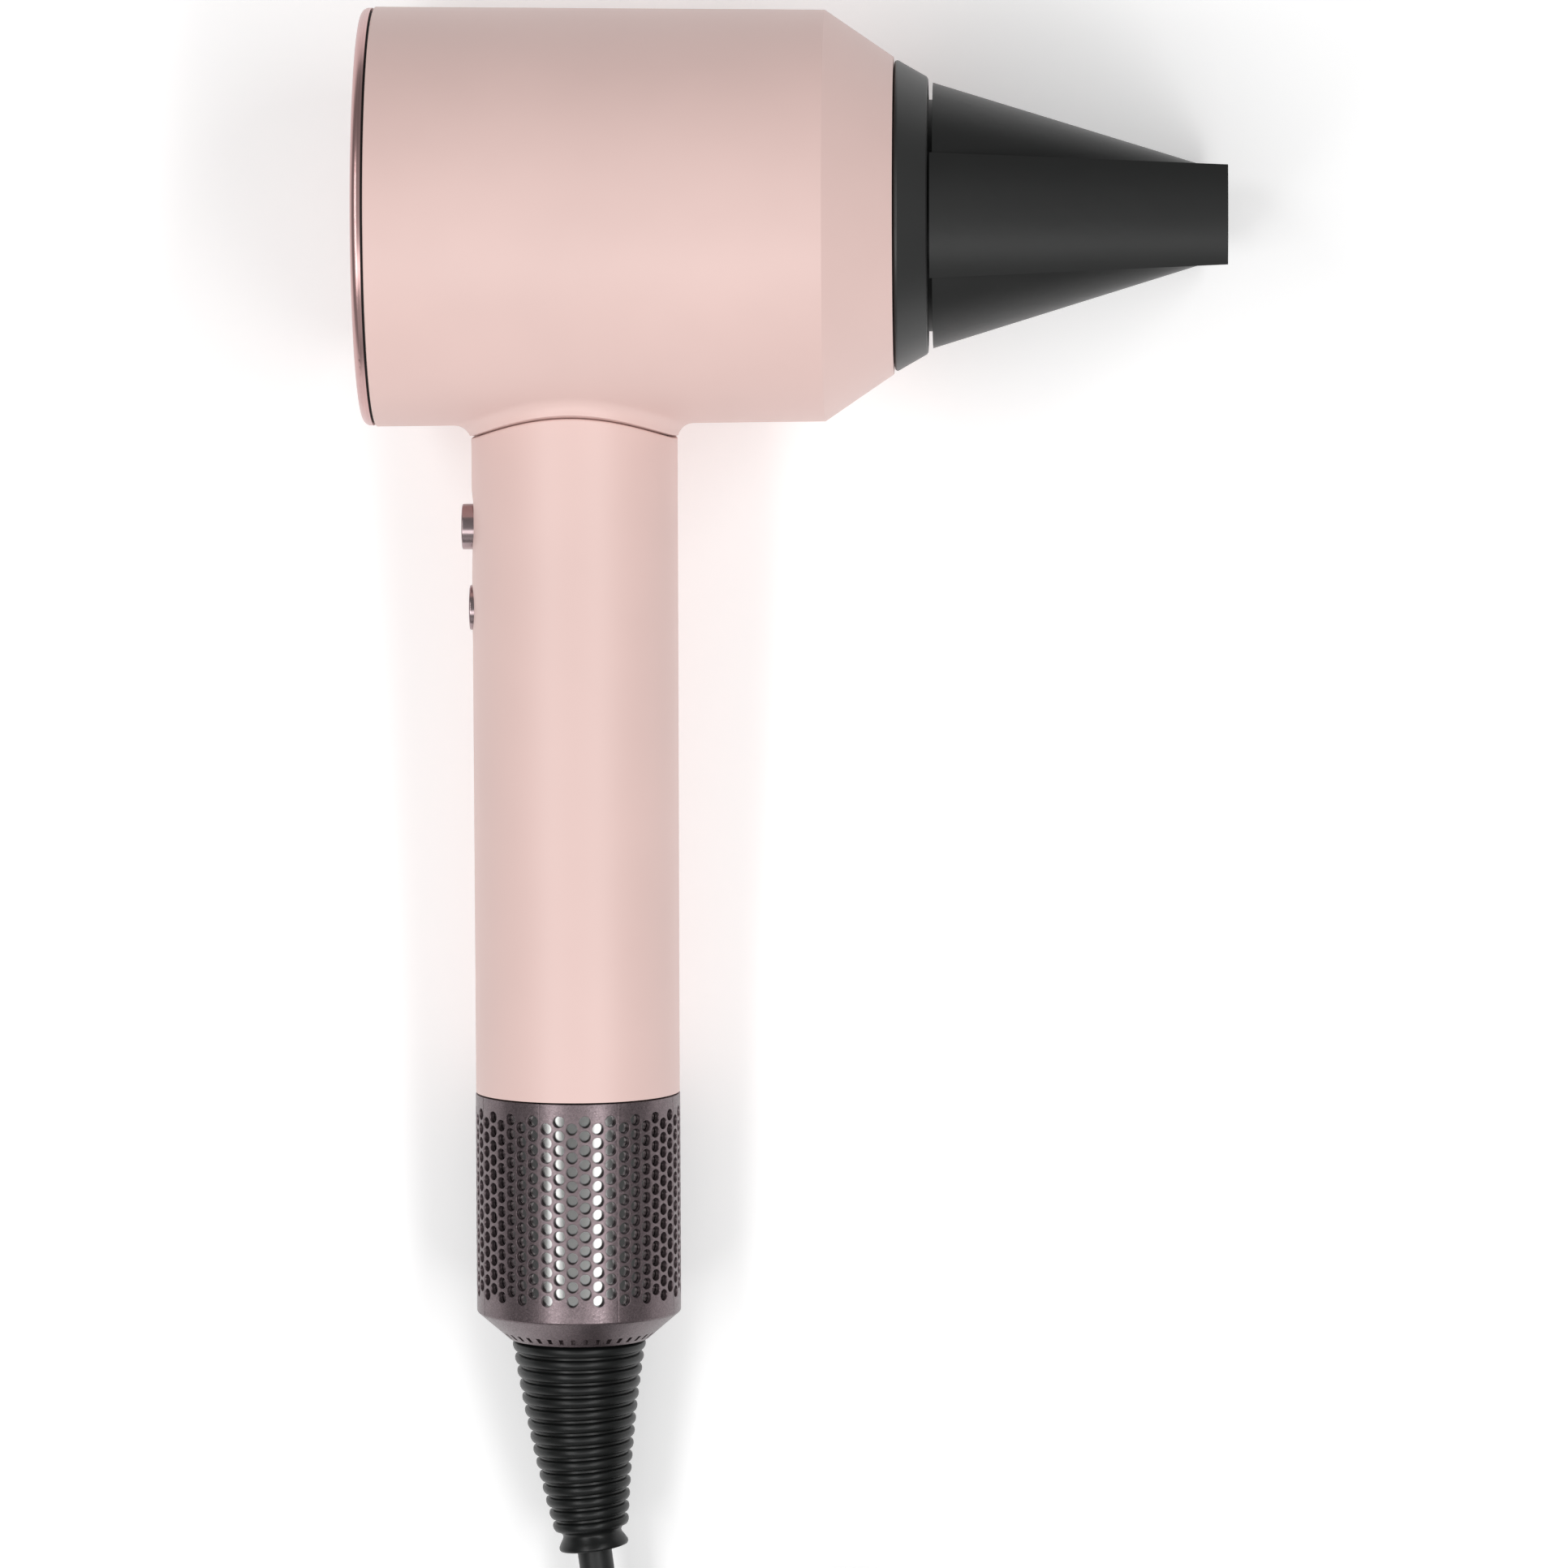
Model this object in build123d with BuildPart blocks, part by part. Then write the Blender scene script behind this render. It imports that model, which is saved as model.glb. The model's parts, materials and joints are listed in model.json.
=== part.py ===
from build123d import *
import math
import os

# Hair dryer with a barrel head, a slim handle and a flat styling nozzle, lying on its side.
#
# Every piece of the dryer is modelled about the crossing of its two centre lines: the head's
# axis is X (towards the nozzle) and the handle hangs down -Y.  One location then lays the
# finished dryer on a level surface, with the surface at Z = 0 and the middle of the dryer's
# footprint at X = Y = 0.  The cord is modelled where it lies.  All sizes are in millimetres.

# ---------------------------------------------------------------- driving dimensions: head
HEAD_REAR_X = -37.4
HEAD_RIM = 0.3
HEAD_REAR_R = 39.7
BEVEL_X = 47.7
BEVEL_R = 38.9
HEAD_FRONT_X = 60.7
HEAD_FRONT_R = 30.0
HEAD_WALL = 1.6
BORE_R = 17.0  # hole right through the head
SLEEVE_WALL = 1.4
OUTLET_GAP = 2.6  # width of the ring-shaped air outlet
SEAM_R = 41.5  # the neck's seam lies on a cylinder round the head's axis
SEAM_GAP = 0.35
TRIM_REAR_X = -39.8
TRIM_FRONT_X = -37.85
TRIM_R = 39.5

# -------------------------------------------------------------- driving dimensions: handle
HANDLE_R = 19.6
HANDLE_END_R = 19.45
HANDLE_WALL = 1.7
HANDLE_END = 166.7  # distances along the handle run down from the head's axis
CAGE_R = 19.5
CAGE_WALL = 1.0
CAGE_END = 208.9
CAGE_BEVEL_END = 214.2
CAGE_MOUTH_R = 13.0
POWER_S = 58.8
POWER_R = 4.35
POWER_PROUD = 1.8
POWER_TRAVEL = 3.0
COLD_S = 74.2
COLD_R = 4.3
COLD_PROUD = 0.45

# -------------------------------------------------------------- driving dimensions: nozzle
COLLAR_REAR_X = 60.9
COLLAR_FRONT_X = 67.2
COLLAR_REAR_R = 29.7
COLLAR_FRONT_R = 26.1
SPIGOT_R = 21.9
NOZZLE_BASE_X = 68.1
NOZZLE_BASE_R = 25.1
NOZZLE_TIP_X = 123.3
TIP_WIDTH = 63.0
TIP_HEIGHT = 18.6
COWL_TIP_WIDTH = 58.0
COWL_TIP_HEIGHT = 15.8

# ---------------------------------------------------- driving dimensions: strain relief, cord
RELIEF_START = 214.5
RELIEF_LENGTH = 40.6
RELIEF_BEND_R = 310.0
RELIEF_TOP_R = 12.7
RELIEF_END_R = 7.3
RELIEF_RIBS = 15
CORD_D = 6.6
COIL_MEAN_D = 73.0
COIL_COLUMNS = 3
COIL_LAYERS = 4
COIL_PITCH = 6.7
TIE_THICK = 1.0

# --------------------------------------------------------------------- resting place
HEAD_CENTRE_R = HEAD_REAR_R + (BEVEL_R - HEAD_REAR_R) * (0 - HEAD_REAR_X) / (BEVEL_X - HEAD_REAR_X)
LEAN = math.degrees(math.atan((HEAD_REAR_R - BEVEL_R) / (BEVEL_X - HEAD_REAR_X)))
TILT = math.degrees(
    math.asin(HEAD_CENTRE_R / math.hypot(CAGE_END, CAGE_R)) - math.atan2(CAGE_R, CAGE_END)
)
RELIEF_TURN = math.degrees(RELIEF_LENGTH / RELIEF_BEND_R)
MIDDLE_X = (TRIM_REAR_X + NOZZLE_TIP_X) / 2
LOWEST_Y = -(RELIEF_START + RELIEF_LENGTH) * math.cos(math.radians(TILT))
MIDDLE_Y = (LOWEST_Y + HEAD_REAR_R) / 2
RESTING = Location((-MIDDLE_X, -MIDDLE_Y, HEAD_CENTRE_R), (TILT, LEAN, 0))

# The free-turning nozzle has settled a little off the dryer's own tilt.
NOZZLE_TURN = Location((0, 0, 0), (-2.4, 0, 0))


def across_head(x):
    """Plane square to the head's axis: sketch x is Y, sketch y is Z, extrusions go forwards."""
    return Plane(origin=(x, 0, 0), x_dir=(0, 1, 0), z_dir=(1, 0, 0))


def across_handle(s):
    """Plane square to the handle's axis: sketch x is X, sketch y is Z, extrusions go down."""
    return Plane(origin=(0, -s, 0), x_dir=(1, 0, 0), z_dir=(0, -1, 0))


def thumb_side(s, out):
    """Plane on the handle's thumb side: sketch x runs down the handle, extrusions go out."""
    return Plane(origin=(-out, -s, 0), x_dir=(0, -1, 0), z_dir=(-1, 0, 0))


def nearly_round(radius):
    """Rounded square that is a circle but for tiny flats, so lofts match corner to corner."""
    return RectangleRounded(2 * radius, 2 * radius, radius * 0.999)


def turned_edges(edge):
    """True for the curves where two round bodies meet, which are neither arcs nor lines."""
    return edge.geom_type not in (GeomType.CIRCLE, GeomType.LINE)


# =============================================================================== head
# Barrel that tapers slightly forwards, then bevels in to the outlet, with a short saddle
# for the handle.  The saddle blends into the barrel and ends on the curved seam.
with BuildPart() as head_shell:
    with BuildSketch():
        Polygon(
            (HEAD_REAR_X, 0),
            (HEAD_REAR_X, HEAD_REAR_R),
            (BEVEL_X, BEVEL_R),
            (HEAD_FRONT_X, HEAD_FRONT_R),
            (HEAD_FRONT_X, 0),
            align=None,
        )
    revolve(axis=Axis.X)
    fillet(head_shell.edges().group_by(Axis.X)[0], HEAD_RIM)
    with BuildSketch(across_handle(20)):
        Circle(HANDLE_R)
    extrude(amount=35)
    fillet(head_shell.edges().filter_by(turned_edges), 3.2)
    with BuildSketch(across_head(HEAD_REAR_X - 1)):
        Circle(SEAM_R)
    extrude(amount=HEAD_FRONT_X - HEAD_REAR_X + 2, mode=Mode.INTERSECT)
    with BuildSketch():
        Polygon(
            (HEAD_REAR_X - 1, 0),
            (HEAD_REAR_X - 1, HEAD_REAR_R - HEAD_WALL),
            (BEVEL_X - 0.5, BEVEL_R - HEAD_WALL),
            (HEAD_FRONT_X + 1, HEAD_FRONT_R - 2.6),
            (HEAD_FRONT_X + 1, 0),
            align=None,
        )
    revolve(axis=Axis.X, mode=Mode.SUBTRACT)
    with BuildSketch(across_handle(20)):
        Circle(HANDLE_R - HEAD_WALL)
    extrude(amount=35, mode=Mode.SUBTRACT)
head_shell.part.label = "head_shell"

# Metal ring round the rear edge of the head.
TRIM_INNER_R = 34.2
with BuildPart() as rear_trim_ring:
    with BuildSketch(across_head(TRIM_REAR_X)):
        Circle(TRIM_R)
        Circle(TRIM_INNER_R, mode=Mode.SUBTRACT)
    extrude(amount=TRIM_FRONT_X - TRIM_REAR_X)
    rear_edges = rear_trim_ring.edges().group_by(Axis.X)[0].sort_by(SortBy.LENGTH)
    fillet(rear_edges[-1], 1.4)
    fillet(rear_trim_ring.edges().group_by(Axis.X)[0].sort_by(SortBy.LENGTH)[0], 0.5)
rear_trim_ring.part.label = "rear_trim_ring"

# Thin dark gasket between the trim ring and the shell.
with BuildPart() as rear_gasket:
    with BuildSketch(across_head(TRIM_FRONT_X)):
        Circle(HEAD_REAR_R - 0.8)
        Circle(36.6, mode=Mode.SUBTRACT)
    extrude(amount=HEAD_REAR_X - TRIM_FRONT_X)
rear_gasket.part.label = "rear_gasket"

# Rear cover: a flat ring for the two buttons, then a funnel into the through bore.
COVER_X = TRIM_REAR_X + 0.8
COVER_WALL = 1.6
FUNNEL_R = 25.0
SLEEVE_REAR_X = -30.0
BUTTON_RING_R = 29.1
SMALL_BUTTON_R = 3.1
SMALL_BUTTON_TRAVEL = 0.5
BUTTON_ANGLE = 38.0  # either side of the handle, seen from behind
with BuildPart() as rear_cover:
    with BuildSketch():
        with BuildLine():
            Polyline(
                (SLEEVE_REAR_X, BORE_R + COVER_WALL),
                (SLEEVE_REAR_X, BORE_R),
            )
            ThreePointArc(
                (SLEEVE_REAR_X, BORE_R),
                (COVER_X + 3.0, FUNNEL_R - 5.7),
                (COVER_X, FUNNEL_R),
            )
            Polyline(
                (COVER_X, FUNNEL_R),
                (COVER_X, TRIM_INNER_R - 0.1),
                (TRIM_FRONT_X, TRIM_INNER_R - 0.1),
                (TRIM_FRONT_X, 36.4),
                (TRIM_FRONT_X + 3.5, 36.4),
                (TRIM_FRONT_X + 3.5, 35.0),
                (COVER_X + COVER_WALL, 32.6),
                (COVER_X + COVER_WALL, FUNNEL_R + 0.4),
            )
            ThreePointArc(
                (COVER_X + COVER_WALL, FUNNEL_R + 0.4),
                (COVER_X + 4.05, FUNNEL_R - 4.5),
                (SLEEVE_REAR_X, BORE_R + COVER_WALL),
            )
        make_face()
    revolve(axis=Axis.X)
    with BuildSketch(across_head(COVER_X - 1)):
        with PolarLocations(BUTTON_RING_R, 2, 180 - BUTTON_ANGLE, 4 * BUTTON_ANGLE):
            Circle(SMALL_BUTTON_R + 0.15)
    extrude(amount=4, mode=Mode.SUBTRACT)
    with BuildSketch(across_head(COVER_X - 1)):
        for side in (-1, 1):
            for step in (-1, 0, 1):
                with PolarLocations(BUTTON_RING_R, 1, 180 + side * (62 + 6 * step)):
                    Circle(0.75)
    extrude(amount=4, mode=Mode.SUBTRACT)
rear_cover.part.label = "rear_cover"


def rear_button(angle):
    """Domed button with a hidden flange, set in the rear cover at an angle from the handle."""
    with BuildPart() as button:
        with BuildSketch(across_head(COVER_X - 0.6)):
            with PolarLocations(BUTTON_RING_R, 1, 180 + angle):
                Circle(SMALL_BUTTON_R)
        extrude(amount=3.2)
        fillet(button.edges().group_by(Axis.X)[0], 0.5)
        with BuildSketch(across_head(COVER_X + COVER_WALL + 0.2)):
            with PolarLocations(BUTTON_RING_R, 1, 180 + angle):
                Circle(SMALL_BUTTON_R + 0.4)
        extrude(amount=0.8)
    return button


speed_button = rear_button(-BUTTON_ANGLE)
speed_button.part.label = "speed_button"
heat_button = rear_button(BUTTON_ANGLE)
heat_button.part.label = "heat_button"

# Three light pipes beside each rear button show the setting.
with BuildPart() as light_pipes:
    with BuildSketch(across_head(COVER_X + 0.05)):
        for side in (-1, 1):
            for step in (-1, 0, 1):
                with PolarLocations(BUTTON_RING_R, 1, 180 + side * (62 + 6 * step)):
                    Circle(0.7)
    extrude(amount=4.2)
light_pipes.part.label = "light_pipes"

# Board behind the rear buttons, a part ring round the bore.
BUTTON_BOARD_X = COVER_X + 5.0
with BuildPart() as button_board:
    with BuildSketch(across_head(BUTTON_BOARD_X)):
        Circle(34.4)
        Circle(26.0, mode=Mode.SUBTRACT)
        with Locations((30, 0)):
            Rectangle(60, 80, mode=Mode.SUBTRACT)
    extrude(amount=1.2)
button_board.part.label = "button_board"

# Board with the heater control, a full ring nearer the middle of the head.
with BuildPart() as heater_board:
    with BuildSketch(across_head(-26.5)):
        Circle(36.0)
        Circle(22.0, mode=Mode.SUBTRACT)
        with PolarLocations(33.0, 4, 45):
            Circle(1.6, mode=Mode.SUBTRACT)
    extrude(amount=1.6)
heater_board.part.label = "heater_board"

# Sleeve that lines the through bore and forms the inner lip of the air outlet.
SLEEVE_R = BORE_R + SLEEVE_WALL
with BuildPart() as inner_sleeve:
    with BuildSketch(across_head(SLEEVE_REAR_X)):
        Circle(SLEEVE_R)
        Circle(BORE_R, mode=Mode.SUBTRACT)
    extrude(amount=HEAD_FRONT_X - 0.2 - SLEEVE_REAR_X)
    front_rim = inner_sleeve.edges().group_by(Axis.X)[-1]
    fillet(front_rim, 0.5)
inner_sleeve.part.label = "inner_sleeve"

# Outlet ring: funnels the air into the ring-shaped gap and carries the nozzle's magnets.
OUTLET_R = SLEEVE_R + OUTLET_GAP
MAGNET_COUNT = 6
MAGNET_R = 2.5
MAGNET_RING_R = 24.6
with BuildPart() as outlet_ring:
    with BuildSketch():
        Polygon(
            (HEAD_FRONT_X, OUTLET_R),
            (HEAD_FRONT_X, 28.0),
            (BEVEL_X + 1.0, 36.2),
            (BEVEL_X - 2.0, 37.1),
            (BEVEL_X - 2.0, 35.6),
            (HEAD_FRONT_X - 5.0, OUTLET_R),
            align=None,
        )
    revolve(axis=Axis.X)
    with BuildSketch(across_head(HEAD_FRONT_X - 6.0)):
        with PolarLocations(MAGNET_RING_R, MAGNET_COUNT):
            Circle(MAGNET_R + 0.05)
    extrude(amount=5.2, mode=Mode.SUBTRACT)
outlet_ring.part.label = "outlet_ring"

with BuildPart() as outlet_magnets:
    with BuildSketch(across_head(HEAD_FRONT_X - 2.8)):
        with PolarLocations(MAGNET_RING_R, MAGNET_COUNT):
            Circle(MAGNET_R)
    extrude(amount=2.0)
outlet_magnets.part.label = "outlet_magnets"

# Heater: a mica frame with a ring of corrugated ribbon in each half.
HEATER_X = 20.0
HEATER_LENGTH = 22.0
HEATER_INNER_R = 21.0
HEATER_OUTER_R = 35.0
with BuildPart() as heater_frame:
    with BuildSketch(across_head(HEATER_X)):
        Circle(HEATER_OUTER_R)
        Circle(HEATER_OUTER_R - 0.8, mode=Mode.SUBTRACT)
        Circle(HEATER_INNER_R + 0.8)
        Circle(HEATER_INNER_R, mode=Mode.SUBTRACT)
    extrude(amount=HEATER_LENGTH)
    with BuildSketch(across_head(HEATER_X)):
        with PolarLocations((HEATER_INNER_R + HEATER_OUTER_R) / 2, 8):
            Rectangle(HEATER_OUTER_R - HEATER_INNER_R - 1.0, 1.0)
    extrude(amount=1.5)
    with BuildSketch(across_head(HEATER_X + HEATER_LENGTH - 1.5)):
        with PolarLocations((HEATER_INNER_R + HEATER_OUTER_R) / 2, 8):
            Rectangle(HEATER_OUTER_R - HEATER_INNER_R - 1.0, 1.0)
    extrude(amount=1.5)
    with BuildSketch(across_head(HEATER_X + HEATER_LENGTH / 2 - 0.5)):
        with PolarLocations((HEATER_INNER_R + HEATER_OUTER_R) / 2, 8):
            Rectangle(HEATER_OUTER_R - HEATER_INNER_R - 1.0, 1.0)
    extrude(amount=1.0)
heater_frame.part.label = "heater_frame"


def ribbon_outline(folds, grow):
    """Points of a folded ring, moved in or out by grow, that zigzags across the heater."""
    points = []
    for step in range(2 * folds):
        angle = math.pi * step / folds
        reach = HEATER_OUTER_R - 1.6 if step % 2 else HEATER_INNER_R + 1.6
        points.append(((reach + grow) * math.cos(angle), (reach + grow) * math.sin(angle)))
    return points


RIBBON_FOLDS = 40
RIBBON_HALF_WIDTH = 0.15
with BuildPart() as heater_ribbons:
    for start in (HEATER_X + 1.8, HEATER_X + HEATER_LENGTH / 2 + 0.8):
        with BuildSketch(across_head(start)):
            Polygon(*ribbon_outline(RIBBON_FOLDS, RIBBON_HALF_WIDTH), align=None)
            Polygon(
                *ribbon_outline(RIBBON_FOLDS, -RIBBON_HALF_WIDTH),
                align=None,
                mode=Mode.SUBTRACT,
            )
        extrude(amount=HEATER_LENGTH / 2 - 2.6)
heater_ribbons.part.label = "heater_ribbons"

# Thermal cut-out: a small can on the heater frame's rear edge.
with BuildPart() as thermal_cutout:
    with BuildSketch(across_head(HEATER_X - 6.0)):
        with Locations((28.0, 0)):
            RectangleRounded(5.0, 8.0, 1.2)
    extrude(amount=5.9)
thermal_cutout.part.label = "thermal_cutout"

# ============================================================================= handle
# Slim tube.  Its top edge follows the curved seam; on the thumb side are a shallow thumb
# recess, the slot of the power slider and the hole of the cold-shot button.
HANDLE_INNER_R = HANDLE_R - HANDLE_WALL
with BuildPart() as handle_shell:
    with BuildSketch():
        Polygon(
            (0, -30),
            (HANDLE_R, -30),
            (HANDLE_END_R, -HANDLE_END),
            (0, -HANDLE_END),
            align=None,
        )
    revolve(axis=Axis.Y)
    with BuildSketch(across_head(-25)):
        Circle(SEAM_R + SEAM_GAP)
    extrude(amount=50, mode=Mode.SUBTRACT)
    fillet(handle_shell.edges().filter_by(turned_edges), 0.4)
    with BuildSketch(across_handle(30)):
        Circle(HANDLE_INNER_R)
    extrude(amount=HANDLE_END, mode=Mode.SUBTRACT)
    with BuildSketch(Plane.XY.offset(-8)):
        Polygon(
            (-HANDLE_R - 1, -51.9),
            (-HANDLE_R, -52.4),
            (-HANDLE_R + 0.6, -55.3),
            (-HANDLE_R, -70.0),
            (-HANDLE_R - 1, -70.5),
            align=None,
        )
    extrude(amount=16, mode=Mode.SUBTRACT)
    with BuildSketch(thumb_side(POWER_S - POWER_TRAVEL / 2, 10)):
        SlotCenterToCenter(POWER_TRAVEL, 2 * POWER_R + 0.6)
    extrude(amount=12, mode=Mode.SUBTRACT)
    with BuildSketch(thumb_side(COLD_S, 10)):
        Circle(COLD_R + 0.3)
    extrude(amount=12, mode=Mode.SUBTRACT)
handle_shell.part.label = "handle_shell"

# Power slider: a round knob on a plate that slides inside the handle.
PLATE_OUT = 16.5
with BuildPart() as power_slider:
    with BuildSketch(thumb_side(POWER_S, PLATE_OUT - 0.5)):
        Circle(POWER_R)
    extrude(amount=HANDLE_R + POWER_PROUD - PLATE_OUT + 0.5)
    fillet(power_slider.edges().group_by(Axis.X)[0], 0.3)
    with BuildSketch(thumb_side(POWER_S, PLATE_OUT - 1.0)):
        RectangleRounded(12.0, 11.6, 1.0)
    extrude(amount=1.0)
    with BuildSketch(thumb_side(POWER_S, PLATE_OUT - 2.4)):
        Rectangle(1.4, 1.4)
    extrude(amount=1.5)
power_slider.part.label = "power_slider"

# Cold-shot button: nearly flush, with a slightly domed face and a hidden flange.
COLD_FACE = HANDLE_R + COLD_PROUD
with BuildPart() as cold_button:
    with BuildSketch(thumb_side(COLD_S, PLATE_OUT - 0.9)):
        Circle(COLD_R)
    extrude(amount=COLD_FACE - PLATE_OUT + 0.9)
    fillet(cold_button.edges().group_by(Axis.X)[0], 0.3)
    with BuildSketch(thumb_side(COLD_S, PLATE_OUT - 0.9)):
        Circle(COLD_R + 1.0)
    extrude(amount=0.8)
cold_button.part.label = "cold_button"

# Tray that walls the switches off from the air, with its board and switches.
TRAY_OUT = 9.6
BOARD_OUT = 10.8
with BuildPart() as switch_carrier:
    with BuildSketch(thumb_side(68, TRAY_OUT)):
        RectangleRounded(42, 28.2, 2.0)
    extrude(amount=1.1)
switch_carrier.part.label = "switch_carrier"

with BuildPart() as switch_board:
    with BuildSketch(thumb_side(68, BOARD_OUT)):
        RectangleRounded(36, 13, 1.0)
    extrude(amount=1.2)
switch_board.part.label = "switch_board"

with BuildPart() as slide_switch:
    with BuildSketch(thumb_side(POWER_S - POWER_TRAVEL / 2, BOARD_OUT + 1.25)):
        Rectangle(9.0, 4.6)
    extrude(amount=2.9)
    with BuildSketch(thumb_side(POWER_S - POWER_TRAVEL / 2, BOARD_OUT + 3.0)):
        Rectangle(POWER_TRAVEL + 2.0, 2.0)
    extrude(amount=2.0, mode=Mode.SUBTRACT)
slide_switch.part.label = "slide_switch"

with BuildPart() as tact_switch:
    with BuildSketch(thumb_side(COLD_S, BOARD_OUT + 1.25)):
        RectangleRounded(6.0, 6.0, 0.4)
    extrude(amount=2.2)
    with BuildSketch(thumb_side(COLD_S, BOARD_OUT + 3.4)):
        Circle(1.7)
    extrude(amount=0.45)
tact_switch.part.label = "tact_switch"

# Rubber seal that bridges the seam between head and handle.
with BuildPart() as neck_seal:
    with BuildSketch(across_handle(35.5)):
        Circle(HANDLE_INNER_R - 0.1)
        Circle(HANDLE_INNER_R - 1.8, mode=Mode.SUBTRACT)
    extrude(amount=10.5)
neck_seal.part.label = "neck_seal"

# =============================================================================== motor
MOTOR_TOP = 114.0
MOTOR_BOTTOM = 152.0
HUB_R = 9.6
HUB_BOTTOM = 136.0
SHAFT_R = 1.5
with BuildPart() as motor_board:
    with BuildSketch(across_handle(MOTOR_TOP - 8)):
        Circle(14.5)
        Circle(4.0, mode=Mode.SUBTRACT)
        with PolarLocations(14.5, 3):
            Circle(3.0, mode=Mode.SUBTRACT)
    extrude(amount=1.2)
motor_board.part.label = "motor_board"

# Rubber mount that carries the motor in the handle, ribbed on the outside.
MOUNT_RIB_R = HANDLE_INNER_R - 0.1
with BuildPart() as motor_mount:
    with BuildSketch(across_handle(MOTOR_TOP)):
        Circle(16.6)
        Circle(15.5, mode=Mode.SUBTRACT)
    extrude(amount=MOTOR_BOTTOM - MOTOR_TOP)
    for s in (MOTOR_TOP, (MOTOR_TOP + MOTOR_BOTTOM) / 2 - 1, MOTOR_BOTTOM - 2):
        with BuildSketch(across_handle(s)):
            Circle(MOUNT_RIB_R)
            Circle(16.0, mode=Mode.SUBTRACT)
        extrude(amount=2)
motor_mount.part.label = "motor_mount"

# Motor housing: outer tube, inner bucket and the still vanes that straighten the air.
VANES = 11
BEARING_R = 4.0
with BuildPart() as motor_housing:
    with BuildSketch(across_handle(MOTOR_TOP)):
        Circle(15.45)
        Circle(14.5, mode=Mode.SUBTRACT)
    extrude(amount=MOTOR_BOTTOM - MOTOR_TOP)
    with BuildSketch():
        Polygon(
            (BEARING_R + 0.02, -(HUB_BOTTOM - 5)),
            (HUB_R - 0.9, -(HUB_BOTTOM - 5)),
            (HUB_R - 0.9, -MOTOR_TOP),
            (HUB_R, -MOTOR_TOP),
            (HUB_R, -HUB_BOTTOM),
            (BEARING_R + 0.02, -HUB_BOTTOM),
            align=None,
        )
    revolve(axis=Axis.Y)
    with BuildSketch(across_handle(HUB_BOTTOM - 12)):
        with PolarLocations((HUB_R + 14.5) / 2, VANES):
            Rectangle(5.4, 0.8)
    extrude(amount=12)
motor_housing.part.label = "motor_housing"

# Four-pole stator with a winding on each pole.
STATOR_TOP = 117.0
STATOR_DEEP = 9.0
POLE_R = 4.7
with BuildPart() as stator:
    with BuildSketch(across_handle(STATOR_TOP)):
        Circle(HUB_R - 0.95)
        Circle(HUB_R - 2.4, mode=Mode.SUBTRACT)
        with PolarLocations((POLE_R + HUB_R - 2) / 2, 4):
            Rectangle(HUB_R - 2 - POLE_R, 2.4)
    extrude(amount=STATOR_DEEP)
stator.part.label = "stator"

with BuildPart() as stator_windings:
    with BuildSketch(across_handle(STATOR_TOP - 0.9)):
        with PolarLocations(6.0, 4):
            Rectangle(1.5, 4.2)
    extrude(amount=STATOR_DEEP + 1.8)
    with BuildSketch(across_handle(STATOR_TOP)):
        with PolarLocations(6.0, 4):
            Rectangle(2.2, 2.46)
    extrude(amount=STATOR_DEEP, mode=Mode.SUBTRACT)
stator_windings.part.label = "stator_windings"

with BuildPart() as motor_shaft:
    with BuildSketch(across_handle(MOTOR_TOP - 1)):
        Circle(SHAFT_R)
    extrude(amount=MOTOR_BOTTOM - MOTOR_TOP - 2)
motor_shaft.part.label = "motor_shaft"

with BuildPart() as rotor_magnet:
    with BuildSketch(across_handle(STATOR_TOP - 0.5)):
        Circle(POLE_R - 0.5)
        Circle(SHAFT_R, mode=Mode.SUBTRACT)
    extrude(amount=STATOR_DEEP + 1)
rotor_magnet.part.label = "rotor_magnet"

with BuildPart() as shaft_bearing:
    with BuildSketch(across_handle(HUB_BOTTOM - 4.5)):
        Circle(BEARING_R)
        Circle(SHAFT_R + 0.05, mode=Mode.SUBTRACT)
    extrude(amount=4.0)
shaft_bearing.part.label = "shaft_bearing"

# Mixed-flow impeller: a flaring hub with leaning blades.
IMPELLER_TOP = HUB_BOTTOM + 0.8
IMPELLER_BOTTOM = 148.5
IMPELLER_R = 14.0
BLADES = 13
BLADE_ROOT = 3.4
blade_plane = Plane(origin=(BLADE_ROOT, -IMPELLER_TOP - 5, 0), x_dir=(0, 0, 1), z_dir=(1, 0, 0))
with BuildPart() as impeller:
    with BuildSketch():
        Polygon(
            (SHAFT_R, -IMPELLER_TOP),
            (HUB_R, -IMPELLER_TOP),
            (4.0, -IMPELLER_BOTTOM),
            (SHAFT_R, -IMPELLER_BOTTOM),
            align=None,
        )
    revolve(axis=Axis.Y)
    with BuildSketch(blade_plane):
        Rectangle(0.7, 9.0, rotation=28)
    blade = extrude(amount=IMPELLER_R - BLADE_ROOT - 0.1, mode=Mode.PRIVATE)
    for number in range(BLADES):
        add(blade.rotate(Axis.Y, 360 / BLADES * number))
impeller.part.label = "impeller"

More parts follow.
